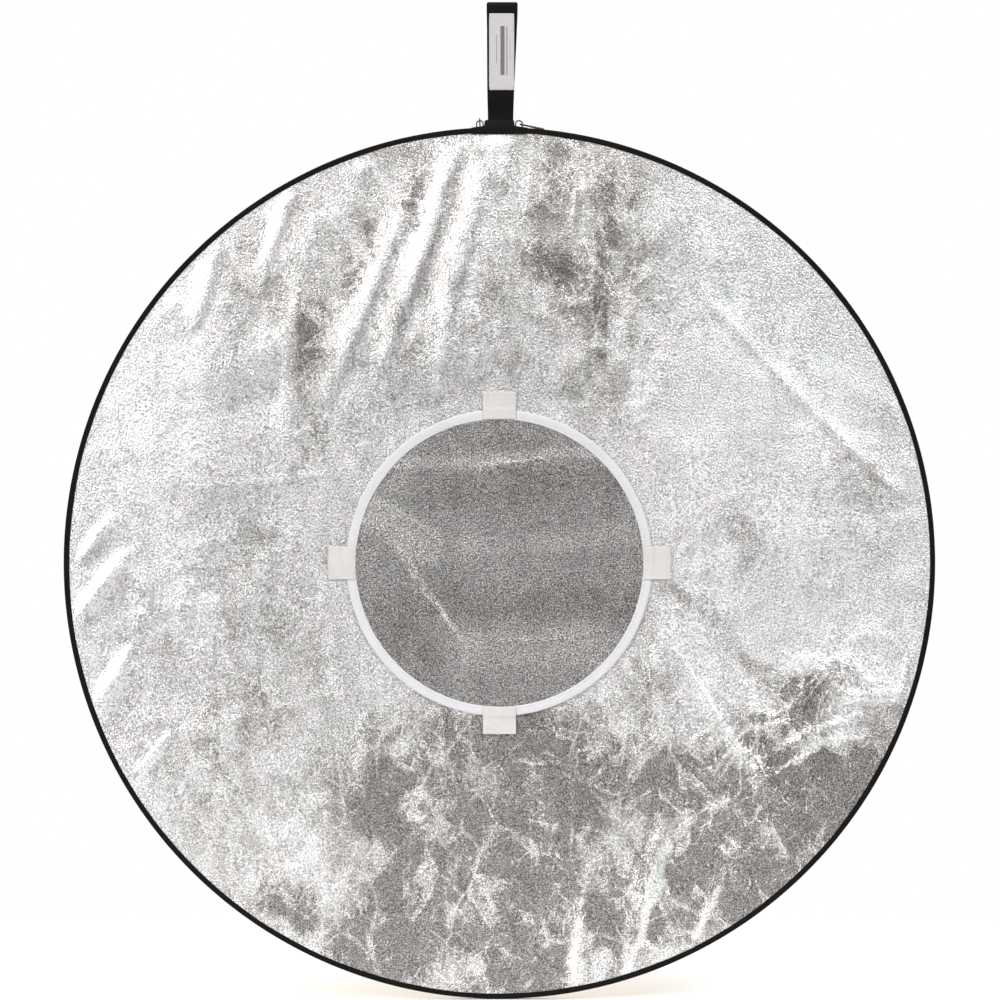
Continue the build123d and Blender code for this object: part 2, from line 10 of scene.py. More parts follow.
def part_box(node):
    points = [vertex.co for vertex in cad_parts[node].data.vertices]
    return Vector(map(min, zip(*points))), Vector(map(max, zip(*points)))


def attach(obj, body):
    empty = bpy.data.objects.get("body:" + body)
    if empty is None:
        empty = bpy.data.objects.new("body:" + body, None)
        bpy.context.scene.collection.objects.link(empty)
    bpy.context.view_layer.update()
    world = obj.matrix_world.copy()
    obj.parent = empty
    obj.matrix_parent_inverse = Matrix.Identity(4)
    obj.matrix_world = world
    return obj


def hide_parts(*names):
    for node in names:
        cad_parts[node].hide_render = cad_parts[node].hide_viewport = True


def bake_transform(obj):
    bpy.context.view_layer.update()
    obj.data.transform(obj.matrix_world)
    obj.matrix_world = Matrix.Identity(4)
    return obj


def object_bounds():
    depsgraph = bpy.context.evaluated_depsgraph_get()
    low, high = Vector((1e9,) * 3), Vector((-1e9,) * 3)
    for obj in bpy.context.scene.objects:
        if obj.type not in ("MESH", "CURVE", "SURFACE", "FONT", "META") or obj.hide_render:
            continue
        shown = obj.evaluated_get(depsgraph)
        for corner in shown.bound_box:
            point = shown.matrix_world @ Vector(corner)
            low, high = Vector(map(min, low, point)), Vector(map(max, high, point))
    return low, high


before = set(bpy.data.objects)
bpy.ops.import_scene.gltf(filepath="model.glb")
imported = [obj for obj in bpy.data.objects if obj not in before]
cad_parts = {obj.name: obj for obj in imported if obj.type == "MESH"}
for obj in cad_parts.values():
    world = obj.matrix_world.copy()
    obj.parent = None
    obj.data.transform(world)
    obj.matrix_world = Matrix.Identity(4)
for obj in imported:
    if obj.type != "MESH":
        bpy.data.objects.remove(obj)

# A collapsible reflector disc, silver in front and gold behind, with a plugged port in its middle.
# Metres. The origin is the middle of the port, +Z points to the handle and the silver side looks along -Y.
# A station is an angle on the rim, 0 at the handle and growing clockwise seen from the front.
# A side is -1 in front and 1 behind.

CAD_BOX = [list(corner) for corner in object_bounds()]
MM = 0.001

RIM_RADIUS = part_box("front_rim_binding")[1].z
PANEL_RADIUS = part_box("silver_panel")[1].z
CLOTH_Y = -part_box("silver_panel")[0].y - 0.2 * MM
PORT_EDGE = 177.0 * MM              # where the cover's cloth starts, inside its port tape
COIL_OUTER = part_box("front_zip_coil")[1].x
COIL_INNER = COIL_OUTER - 2.0 * MM
RING_INNER = 171.6 * MM
RING_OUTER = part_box("insert_ring")[1].z
INSERT_CLOTH_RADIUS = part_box("insert_silver")[1].z
TAB_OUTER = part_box("tab_top")[1].z
TAB_HALF_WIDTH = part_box("tab_top")[1].x
STATIONS = {"top": 0, "right": 90, "bottom": 180, "left": 270}


# ---- materials ----

class Nodes:
    """A node tree, built with short calls. Each call takes numbers, colours or sockets."""

    def __init__(self, tree):
        self.tree = tree

    def put(self, socket, value):
        if isinstance(value, bpy.types.NodeSocket):
            self.tree.links.new(value, socket)
        elif isinstance(value, tuple) and len(value) == 3 and socket.type == "RGBA":
            socket.default_value = (*value, 1.0)
        else:
            socket.default_value = value

    def add(self, kind, values=(), **settings):
        """A node with its properties and the values of its inputs, by index or name."""
        node = self.tree.nodes.new("ShaderNode" + kind)
        for key, value in settings.items():
            setattr(node, key, value)
        for key, value in dict(values).items():
            self.put(node.inputs[key], value)
        return node

    def math(self, operation, *values):
        return self.add("Math", enumerate(values), operation=operation).outputs[0]

    def times(self, *values):
        return reduce(lambda a, b: self.math("MULTIPLY", a, b), values)

    def plus(self, *values):
        return reduce(lambda a, b: self.math("ADD", a, b), values)

    def vector(self, operation, *values):
        return self.add("VectorMath", enumerate(values), operation=operation).outputs[0]

    def scaled(self, vector, factors):
        return self.vector("MULTIPLY", vector, factors)

    def remap(self, value, low, high, to_low=0.0, to_high=1.0, smooth=True):
        kind = "SMOOTHSTEP" if smooth else "LINEAR"
        values = {0: value, 1: low, 2: high, 3: to_low, 4: to_high}
        return self.add("MapRange", values, interpolation_type=kind).outputs[0]

    def spread(self, noise, low, high):
        """Stretches the usual range of a noise, 0.3 to 0.7, to another one."""
        return self.remap(noise, 0.3, 0.7, low, high)

    def mix(self, factor, first, second, blend="MIX"):
        values = {0: factor, 6: first, 7: second}
        return self.add("Mix", values, data_type="RGBA", blend_type=blend).outputs[2]

    def tinted(self, colour, tone):
        """A colour, made lighter or darker by a tone."""
        return self.mix(1.0, colour, self.grey(tone), "MULTIPLY")

    def grey(self, value):
        return self.add("CombineColor", {0: value, 1: value, 2: value}).outputs[0]

    def noise(self, where, scale, detail=2.0, roughness=0.5, distortion=0.0, ridged=False):
        values = {"Vector": where, "Scale": scale, "Detail": detail, "Roughness": roughness}
        values["Distortion"] = distortion
        if ridged:
            values.update({"Offset": 1.0, "Gain": 2.0})
        kind = "RIDGED_MULTIFRACTAL" if ridged else "FBM"
        return self.add("TexNoise", values, noise_type=kind, normalize=not ridged).outputs[0]

    def warped(self, where, scale, reach):
        """A place pushed about by noise, so that straight lines in it bend."""
        push = self.add("TexNoise", {"Vector": where, "Scale": scale, "Detail": 3.0}).outputs["Color"]
        push = self.vector("SUBTRACT", push, (0.5, 0.5, 0.5))
        return self.vector("ADD", where, self.scaled(push, (reach, reach, reach)))

    def cracks(self, where, scale):
        """Distance to the nearest edge between cells: 0 in a crack."""
        values = {"Vector": where, "Scale": scale}
        return self.add("TexVoronoi", values, feature="DISTANCE_TO_EDGE").outputs["Distance"]

    def facets(self, where, scale):
        """A value for each flat facet of crumpled cloth, and the distance to its nearest crease."""
        cell = self.add("TexVoronoi", {"Vector": where, "Scale": scale}, feature="F1").outputs["Color"]
        return self.add("SeparateColor", {0: cell}).outputs[0], self.cracks(where, scale)

    def attribute(self, name, output="Fac"):
        return self.add("Attribute", attribute_name=name).outputs[output]

    def parts(self, vector):
        return self.add("SeparateXYZ", {0: vector}).outputs

    def place(self, kind):
        """Where a point lies: on the object, on a face of the disc, round the disc, or on a piece of tape."""
        if kind == "tape":
            return self.attribute("cloth", "Vector")
        position = self.add("TexCoord").outputs["Object"]
        if kind == "object":
            return position
        x, y, z = self.parts(position)
        if kind == "face":
            return self.add("CombineXYZ", {0: x, 1: z, 2: y}).outputs[0]
        radius = self.math("SQRT", self.plus(self.math("POWER", x, 2.0), self.math("POWER", z, 2.0)))
        along = self.times(self.math("ARCTAN2", x, z), RIM_RADIUS)
        return self.add("CombineXYZ", {0: along, 1: self.plus(y, radius), 2: radius}).outputs[0]

    def weave(self, where, pitch, cross_pitch):
        """Height of a plain weave, 0 to 1, and which set of threads is on top."""
        x, y, _ = self.parts(where)
        warp = self.math("SINE", self.times(x, math.pi / pitch))
        weft = self.math("SINE", self.times(y, math.pi / cross_pitch))
        on_top = self.math("GREATER_THAN", self.times(warp, weft), 0.0)
        warp_height = self.times(self.math("ABSOLUTE", warp), on_top)
        weft_height = self.times(self.math("ABSOLUTE", weft), self.math("SUBTRACT", 1.0, on_top))
        return self.plus(warp_height, weft_height), on_top

    def bump(self, height, depth, strength=1.0, normal=None):
        values = {"Height": height, "Distance": depth, "Strength": strength}
        if normal is not None:
            values["Normal"] = normal
        return self.add("Bump", values).outputs[0]


class Shader(Nodes):
    """A material. Its constants are set on the shader's own sockets."""

    def __init__(self, name, **constants):
        self.material = bpy.data.materials.new(name)
        self.material.use_nodes = True
        super().__init__(self.material.node_tree)
        self.finish(**constants)

    def finish(self, **sockets):
        for name, value in sockets.items():
            self.put(self.tree.nodes["Principled BSDF"].inputs[name.replace("_", " ")], value)
        return self.material


def metal_cloth(name, colour, roughness, grain_size, shimmer, contrast=1.0, blotchy=0.8):
    """Metallised cloth: a crackled grain, creased facets, cloudy tone and a faint change of hue.
    The mesh says where painted shade lies on the cloth (below zero, a painted highlight) and where it is
    crumpled."""
    s = Shader(name, Metallic=1.0)
    where = s.place("face")
    squat = s.scaled(where, (1.0, 0.8, 1.0))
    grain = s.noise(where, 1 / grain_size, 2.0, 0.6)
    fine = s.noise(where, 1.9 / grain_size, 2.0, 0.6)
    cracks = s.remap(s.cracks(s.scaled(where, (1.0, 0.85, 1.0)), 0.6 / grain_size), 0.0, 0.2)
    clouds = s.noise(where, 8.0, 5.0, 0.62, 0.6)
    mottle = s.noise(s.scaled(where, (1.0, 0.75, 1.0)), 23.0, 6.0, 0.68, 0.7)
    streaks = s.noise(s.scaled(where, (1.0, 0.24, 1.0)), 34.0, 3.0, 0.6, 1.3)
    web = s.noise(squat, 24.0, 4.0, 0.5, 0.9, ridged=True)
    bent = s.warped(squat, 19.0, 0.022)
    large, large_edge = s.facets(bent, 21.0)
    small, small_edge = s.facets(bent, 47.0)
    small_lines = s.times(s.remap(small_edge, 0.10, 0.0), s.remap(small, 0.45, 0.6))
    large_lines = s.times(s.remap(large_edge, 0.11, 0.0), s.remap(large, 0.3, 0.5))
    # Crease crests get a painted highlight: less painted shade and a lighter colour.
    crest_highlight = s.math("MAXIMUM", s.remap(web, 1.4, 1.9), s.math("MAXIMUM", small_lines, large_lines))
    crumple = s.attribute("crumple")
    # Painted shading from the mesh: painted shade above zero, a painted highlight below zero.
    signed = s.attribute("dull")
    dull = s.math("MAXIMUM", signed, 0.0)

    # Each crumpled facet gets its own amount of painted shade, as if it faced the light its own way. With the
    # mottle and streaks, this makes the painted shade patchy.
    facing = s.plus(s.times(large, 0.08), s.times(small, 0.04))
    patches = s.plus(s.times(mottle, 0.85), s.plus(facing, s.times(streaks, 0.3)))
    shade_patches = s.remap(patches, 0.805, 0.548, 1.15 - 0.95 * blotchy, 1.15)
    # How deep the painted shade is at each point.
    depth = s.times(dull, shade_patches, s.remap(crest_highlight, 0.0, 1.0, 1.0, 0.6))
    # Painted highlight where the painted shading is below zero, as bright as the colour allows.
    most = min(0.35, 0.99 / max(colour) - 1)
    brighter = s.remap(signed, -0.5, 0.0, most, 0.0)
    tone = s.plus(s.remap(depth, 0.0, 1.1, 1.0, 0.34, smooth=False), brighter)
    uneven = s.times(s.math("SUBTRACT", mottle, 0.5), s.plus(0.3, crumple), 0.75 * contrast)
    # The grain's speckle is real grain, but it shows only where the painted shade lies.
    speckle = s.times(s.remap(fine, 0.36, 0.64, -0.68, 0.9), s.math("MINIMUM", dull, 1.0))
    # The tone: painted highlight on crease crests, random unevenness, clouds, streaks, grain and cracks.
    tone = s.times(
        tone, s.plus(1.0, uneven), s.plus(1.0, s.times(crest_highlight, crumple, 0.16)),
        s.remap(clouds, 0.3, 0.72, 0.93, 1.05),
        s.remap(streaks, 0.34, 0.66, 1 - 0.1 * blotchy, 1 + 0.08 * blotchy),
        s.remap(grain, 0.34, 0.66, 1 - 0.36 * contrast, 1 + 0.3 * contrast),
        s.remap(cracks, 0.0, 1.0, 1 - 0.22 * contrast, 1.03), s.plus(1.0, speckle),
    )
    hue = s.noise(s.scaled(where, (1.0, 0.35, 1.0)), 60.0, 3.0, 0.6, 0.8)
    hue = s.plus(hue, s.math("SUBTRACT", s.noise(where, 330.0, 1.0), 0.5))
    tint = s.mix(s.remap(hue, 0.4, 0.6), *shimmer)
    # Painted shade takes a warmer cast.
    tint = s.mix(s.remap(depth, 0.0, 0.9), tint, (1.0, 0.955, 0.93))
    base = s.tinted(s.mix(1.0, colour, tint, "MULTIPLY"), tone)

    roofs = s.plus(s.times(large_edge, -2.0), s.times(small_edge, -1.0))
    creased = s.plus(s.remap(web, 0.6, 1.8), roofs)
    normal = s.bump(s.times(creased, s.remap(crumple, 0.35, 1.3)), 1.4 * MM, 0.8)
    normal = s.bump(s.plus(s.times(cracks, 0.5), grain, s.times(fine, 0.6)), 0.5 * MM, 0.55, normal)
    rough = s.spread(grain, roughness - 0.05, roughness + 0.06)
    rough = s.plus(rough, s.spread(clouds, 0.05, -0.03))
    return s.finish(Base_Color=base, Roughness=rough, Normal=normal)


def woven(name, colour, pitch, place="tape", rough=0.8, depth=0.1, sheen=0.25, mottling=0.1, **constants):
    """Dyed cloth in a plain weave. pitch is two thread spacings in mm and depth is the weave's, in mm."""
    s = Shader(name, Sheen_Weight=sheen, Sheen_Roughness=0.45, **constants)
    where = s.place(place)
    height, on_top = s.weave(where, pitch[0] * MM, pitch[1] * MM)
    slub = s.noise(s.scaled(where, (1.0, 5.0, 1.0)), 700.0, 3.0, 0.6)
    soil = s.noise(s.place("object"), 34.0, 5.0, 0.6, 0.5)
    # The hollows of the weave carry painted shade; slubs, soil and the upper threads vary the tone.
    tone = s.times(
        s.remap(height, 0.0, 1.0, 0.62, 1.08), s.spread(slub, 0.88, 1.12),
        s.spread(soil, 1 - mottling, 1 + mottling), s.plus(0.96, s.times(on_top, 0.06)),
    )
    normal = s.bump(s.plus(height, s.times(slub, 0.4)), depth * MM, 0.9)
    roughness = s.spread(slub, rough - 0.06, rough + 0.08)
    return s.finish(Base_Color=s.tinted(colour, tone), Roughness=roughness, Normal=normal)


def fibrous(name, colour, scale, depth, rough=0.9, sheen=0.3, **constants):
    """Nap, hooks or thread: short strands with painted shade in the gaps between them."""
    s = Shader(name, Sheen_Weight=sheen, Sheen_Roughness=0.4, **constants)
    where = s.place("object")
    strands = s.noise(where, scale, 4.0, 0.75, 1.5)
    gaps = s.remap(s.cracks(where, scale * 0.6), 0.0, 0.3)
    patches = s.noise(where, 60.0, 3.0)
    # The gaps between strands are darkened with painted shade.
    tone = s.times(
        s.spread(strands, 0.7, 1.12), s.remap(gaps, 0.0, 1.0, 0.8, 1.0), s.spread(patches, 0.94, 1.05)
    )
    normal = s.bump(s.plus(strands, s.times(gaps, 0.6)), depth * MM, 1.0)
    roughness = s.spread(patches, rough - 0.05, rough + 0.05)
    return s.finish(Base_Color=s.tinted(colour, tone), Roughness=roughness, Normal=normal)


def hard_metal(name, colour, worn, wear, rough, metallic, brushed=False, coat=0.0):
    """Painted or bare metal with rubbed edges, faint scratches and, on spring steel, a rolled grain."""
    s = Shader(name, Metallic=metallic, Coat_Weight=coat, Coat_Roughness=0.2)
    where = s.place("disc" if brushed else "object")
    fine = s.noise(s.scaled(where, (0.03, 1.0, 1.0)) if brushed else where, 2400.0, 3.0, 0.6)
    stains = s.noise(where, 190.0, 4.0, 0.65, 0.4)
    edges = s.add("NewGeometry").outputs["Pointiness"]
    rubbed = s.times(s.remap(edges, 0.52, 0.6), s.remap(stains, 0.4, 0.6, 0.2, 1.0))
    base = s.mix(s.times(rubbed, wear), colour, worn)
    roughness = s.spread(stains, rough - 0.06, rough + 0.1)
    roughness = s.plus(roughness, s.spread(fine, -0.03, 0.03))
    return s.finish(
        Base_Color=s.tinted(base, s.spread(fine, 0.9, 1.1)), Roughness=roughness,
        Normal=s.bump(fine, 0.02 * MM, 0.5),
    )


# The label's bars: centre and half-width across, lowest and highest along in mm, and depth of tone.
LABEL_BARS = (
    (1.0, 2.6, -28.0, 31.0, 0.82), (6.2, 1.1, -29.0, 30.0, 0.45),
    (-6.0, 0.7, -14.0, 20.0, 0.5), (10.0, 0.6, -12.0, 16.0, 0.35),
)


def label_cloth():
    """Pale satin label. Plain woven bars stand where such a label carries its print."""
    s = Shader("label_satin", Sheen_Weight=0.3, Sheen_Roughness=0.3)
    where = s.place("tape")
    height, _ = s.weave(where, 0.5 * MM, 0.3 * MM)
    x, y, _ = s.parts(where)

    def band(axis, centre, half, soft):
        """1 inside a band, 0 outside it, in mm."""
        distance = s.math("ABSOLUTE", s.math("SUBTRACT", axis, centre * MM))
        return s.remap(distance, half * MM, (half - soft) * MM)

    ink = 0.0
    for centre, half, low, high, depth in LABEL_BARS:
        bar = s.times(band(x, centre, half, 0.25), band(y, (low + high) / 2, (high - low) / 2, 0.3), depth)
        ink = s.plus(bar, ink)
    threads = s.spread(s.noise(s.scaled(where, (1.0, 4.0, 1.0)), 900.0, 2.0), 0.93, 1.05)
    # The hollows of the weave carry painted shade.
    pale = s.tinted((0.49, 0.465, 0.475), s.times(threads, s.remap(height, 0.0, 1.0, 0.88, 1.02)))
    base = s.mix(ink, pale, (0.05, 0.047, 0.052))
    roughness = s.remap(height, 0.0, 1.0, 0.62, 0.45)
    return s.finish(Base_Color=base, Roughness=roughness, Normal=s.bump(height, 0.06 * MM, 0.7))


# ---- mesh helpers ----

TINY = 1e-9


def new_piece(name, points, faces, material, cloth=None):
    """A smooth-shaded mesh. cloth holds each face corner's place along and across its tape, in metres."""
    mesh = bpy.data.meshes.new(name)
    mesh.from_pydata(np.asarray(points).tolist(), [], faces.tolist() if hasattr(faces, "tolist") else faces)
    mesh.polygons.foreach_set("use_smooth", np.ones(len(mesh.polygons), bool))
    if cloth is not None:
        flat = np.zeros((len(mesh.loops), 3), np.float32)
        flat[:, :2] = cloth.reshape(-1, 2)
        mesh.attributes.new("cloth", "FLOAT_VECTOR", "CORNER").data.foreach_set("vector", flat.ravel())
    mesh.materials.append(material)
    piece = bpy.data.objects.new(name, mesh)
    bpy.context.collection.objects.link(piece)
    return piece


def quads(rows, columns, wrap_rows=False, wrap_columns=False, flip=False):
    """Faces of a grid of points, and the grid index of each of their corners."""
    i, j = np.indices((rows - (not wrap_rows), columns - (not wrap_columns)))
    steps = ((0, 0), (1, 0), (1, 1), (0, 1))[::-1 if flip else 1]
    corners = np.stack([np.stack([i + a, j + b], -1) for a, b in steps], 2).reshape(-1, 4, 2)
    return (corners[..., 0] % rows) * columns + corners[..., 1] % columns, corners


def grid_piece(name, points, along, across, material, wrap_rows=False, wrap_columns=False, flip=False):
    """A piece from points[row, column]. along and across are each row's and column's place on the cloth, one
    more of them where the grid closes on itself."""
    rows, columns = points.shape[:2]
    faces, corners = quads(rows, columns, wrap_rows, wrap_columns, flip)
    cloth = np.stack([np.asarray(along)[corners[..., 0]], np.asarray(across)[corners[..., 1]]], -1)
    return new_piece(name, points.reshape(-1, 3), faces, material, cloth)


def round_the_disc(count):
    """Evenly spaced stations in radians, one to a row."""
    return np.linspace(0, math.tau, count, endpoint=False)[:, None]


def polar(radius, depth, station):
    """Points from a radius, a place along Y and a station in radians."""
    return np.stack([radius * np.sin(station), depth + 0 * radius, radius * np.cos(station)], -1)


def path_lengths(points):
    steps = np.linalg.norm(np.diff(points, axis=0), axis=1)
    return np.concatenate([[0], np.cumsum(steps)])


def smooth_step(low, high, value):
    t = np.clip((value - low) / (high - low), 0, 1)
    return t * t * (3 - 2 * t)


def unit(vectors):
    return vectors / np.linalg.norm(vectors, axis=-1, keepdims=True)


def noise_at(x, z, scale, octaves, seed, ridged=False):
    """Fractal noise at each point; scale is the size of its largest features in metres."""
    fractal, extra = (noise.ridged_multi_fractal, (1.0, 2.0)) if ridged else (noise.fractal, ())
    flat = zip(x.ravel() / scale, z.ravel() / scale)
    values = [fractal(Vector((a, b, seed)), 1.0, 2.1, octaves, *extra) for a, b in flat]
    return np.array(values).reshape(x.shape)


def corner_path(corners, per_run, depth):
    """Points along straight runs through corners (x, z), at a place along Y."""
    path = [
        (start[0] + t * (end[0] - start[0]), depth, start[1] + t * (end[1] - start[1]))
        for start, end in zip(corners, corners[1:]) for t in np.linspace(0, 1, per_run, endpoint=False)
    ]
    return path + [(corners[-1][0], depth, corners[-1][1])]


def stitches(name, path, side, material, slot, pitch=3.4, length=2.5, thickness=0.32):
    """A row of thread stitches, pitch and length in mm, along a path on cloth that faces forwards or back."""
    path = np.asarray(path, float)
    lengths = path_lengths(path)
    count = max(2, round(lengths[-1] / (pitch * MM)))
    centres = (np.arange(count) + 0.5) * lengths[-1] / count
    at, ahead, behind = (
        np.stack([np.interp(centres + shift * MM, lengths, path[:, k]) for k in range(3)], -1)
        for shift in (0.0, 0.3, -0.3)
    )
    along = unit(ahead - behind)
    up = np.tile((0.0, float(side), 0.0), (count, 1))
    across = np.cross(along, up)
    # Each ring of a stitch: its place along it, size and rise.
    rings = ((-1.0, 0.3, -0.5), (-0.72, 0.85, 0.0), (0.0, 1.0, 0.3), (0.72, 0.85, 0.0), (1.0, 0.3, -0.5))
    points = []
    for offset, size, rise in rings:
        for angle in np.arange(6) * math.tau / 6:
            out = size * math.cos(angle) * thickness * MM
            height = (size * math.sin(angle) + rise) * thickness * MM
            points.append(at + along * offset * length / 2 * MM + across * out + up * height)
    faces, _ = quads(len(rings), 6, wrap_columns=True)
    last = len(points) - 1
    faces = [*faces.tolist(), list(range(6)), list(range(last, last - 6, -1))]
    every = [[corner + len(points) * k for corner in face] for k in range(count) for face in faces]
    return new_piece(name, np.stack(points, 1).reshape(-1, 3), every, material)


def fan(hub, first, count, reverse=False):
    """Triangles from a hub point to a ring of points."""
    ends = [(first + j, first + (j + 1) % count) for j in range(count)]
    return [(hub, b, a) if reverse else (hub, a, b) for a, b in ends]


def plate(
    name, centre, size, depths, corner, material, crown=0.0, rough=0.0, rings=10, around=96, seed=3.0
):
    """A flat pad with rounded corners, facing -Y. depths are its front and back, and crown its rise."""
    half = np.array(size) / 2
    angle = np.linspace(0, math.tau, around, endpoint=False)
    box = np.stack([np.cos(angle), np.sin(angle)], -1)
    edge = box * np.min(half / np.maximum(np.abs(box), TINY), axis=1)[:, None]
    nearest = np.clip(edge, corner - half, half - corner)
    outward = edge - nearest
    distance = np.maximum(np.linalg.norm(outward, axis=1, keepdims=True), TINY)
    edge = np.where(distance > corner, nearest + outward / distance * corner, edge)
    front, back = depths
    wall = back - front
    # Each ring of points: how much of the outline's size it has, and its place along Y.
    levels = [(k / rings, front - crown * (1 - (k / rings) ** 4)) for k in range(1, rings)]
    levels += [(0.985, front + 0.06 * wall), (1.0, front + 0.35 * wall), (1.0, back - 0.3 * wall)]
    levels += [(0.985, back), (0.5, back)]
    points = [np.array([[0.0, front - crown, 0.0]])]
    for share, depth in levels:
        at = edge * share
        points.append(np.stack([at[:, 0], np.full(around, depth), at[:, 1]], -1))
    points = np.concatenate([*points, [[0.0, back, 0.0]]])
    if rough:
        bumps = noise_at(points[:, 0], points[:, 2], 1.1 * MM, 3, seed)
        points[:, 1] -= np.where(points[:, 1] < back - 0.5 * wall, 1, 0) * rough * np.clip(bumps + 0.5, 0, 1)
    middle, _ = quads(len(levels), around, wrap_columns=True, flip=True)
    last = len(points) - 1
    faces = [*fan(0, 1, around), *(middle + 1).tolist(), *fan(last, last - around, around, reverse=True)]
    corners = np.array([points[c][[0, 2]] for face in faces for c in face])
    points += (centre[0], 0.0, centre[1])
    return close_up(new_piece(name, points, faces, material, corners))


def turn(piece, station_deg):
    """Turns a piece modelled at the handle round the disc to its station."""
    angle = math.radians(station_deg)
    c, s = round(math.cos(angle), 9), round(math.sin(angle), 9)
    mesh = piece.data
    x, y, z = np.array([v.co for v in mesh.vertices]).T
    turned = np.stack([x * c + z * s, y, z * c - x * s], -1)
    mesh.vertices.foreach_set("co", turned.astype(np.float32).ravel())
    mesh.update()
    return piece


def close_up(piece):
    """Closes the open ends of a tube or ribbon, and points every face outwards."""
    work = bmesh.new()
    work.from_mesh(piece.data)
    bmesh.ops.holes_fill(work, edges=[edge for edge in work.edges if edge.is_boundary])
    bmesh.ops.recalc_face_normals(work, faces=work.faces)
    for face in work.faces:
        face.smooth = True
    work.to_mesh(piece.data)
    work.free()
    return piece


def folded_tape(name, profile, radius, count, sway, gather, material, side=-1, flip=True):
    """Tape folded round a ring. Its profile gives radius and depth in mm, and how far each point follows
    the sway of its edge and the gathering of its face."""
    station = round_the_disc(count)
    reach = np.concatenate([r * MM + share * sway for r, _, share, _ in profile], 1)
    depth = np.concatenate([y * MM + share * gather for _, y, _, share in profile], 1)
    points = polar(reach, -side * depth, station)
    across = path_lengths(np.array([(r, y) for r, y, _, _ in profile + profile[:1]])) * MM
    along = np.linspace(0, math.tau * radius, count + 1)
    return grid_piece(name, points, along, across, material, True, True, flip)


# ---- cover ----

# Folds of the silver cloth: the crest's course in parts of the rim's radius (x, z), then the half-width
# and height in mm, and which flank is the steep one.
SILVER_FOLDS = (
    (((-.21, .84), (-.29, .62), (-.39, .38)), 15, 4.1, 1),
    (((-.08, .99), (-.15, .78), (-.20, .64), (-.27, .44)), 15, 4.5, 1),
    (((.00, .99), (-.07, .78), (-.11, .60), (-.145, .39)), 19, 5.0, 1),
    (((.03, .98), (.01, .86)), 9, 2.4, 1),
    (((-.48, .86), (-.51, .74), (-.54, .63)), 11, 3.0, 1),
    (((-.64, .72), (-.69, .55)), 12, 3.0, 1),
    (((-.42, .80), (-.46, .51)), 14, 1.8, 1),
    (((-.29, .96), (-.31, .87)), 9, 2.0, 1),
    (((.19, .93), (.17, .75)), 5, 1.9, 1),
    (((.37, .82), (.35, .66), (.33, .48)), 16, 1.8, 1),
    (((-.90, .10), (-.97, .00)), 10, 2.6, -1),
    (((-.86, .02), (-.98, -.13)), 13, 3.6, -1),
    (((-.85, -.20), (-.95, -.36)), 13, 3.6, -1),
    (((-.76, -.39), (-.83, -.49)), 6, 1.8, -1),
    (((-.46, .68), (-.47, .45), (-.48, .22)), 15, 2.0, 1),
    (((-.91, -.44), (-.62, -.36), (-.34, -.30)), 9, 0.6, 1),
    (((-.71, .17), (-.52, .19), (-.34, .22)), 8, 0.5, 1),
    (((-.31, -.36), (-.32, -.52), (-.30, -.68)), 16, 2.0, -1),
    (((.38, -.12), (.39, -.34), (.385, -.56)), 15, 2.0, 1),
    (((.38, -.60), (.35, -.74), (.31, -.86), (.28, -.95)), 12, 5.0, 1),
    (((.21, -.70), (.20, -.82), (.17, -.96)), 9, 3.6, 1),
    (((.10, -.80), (.08, -.90), (.06, -.98)), 8, 3.0, 1),
    (((.51, -.70), (.46, -.86)), 8, 3.0, 1),
    (((.41, -.20), (.49, -.34), (.58, -.47), (.65, -.56)), 7, 1.3, 1),
    (((.60, -.45), (.70, -.39), (.84, -.34)), 7, 1.8, 1),
    (((.72, -.22), (.78, -.30), (.88, -.31), (.98, -.29)), 7, 1.6, -1),
    (((.97, -.15), (.93, -.25), (.90, -.40)), 8, 1.8, -1),
    (((.13, .66), (.16, .60), (.20, .60), (.23, .66)), 8, 1.3, 1),
    (((-.20, -.50), (-.17, -.60), (-.20, -.72)), 8, 2.0, 1),
    (((.46, .62), (.70, .36), (.93, .14)), 9, 1.2, -1),
)
# Creases with painted shade on one side: x, lowest and highest z, how far the shaded side reaches, and how
# much shade.
PAINTED_CREASE_SHADE = ((-.31, -.72, -.33, .17, .42), (.385, -.60, -.12, -.11, .30), (-.47, .22, .68, .11, .22))
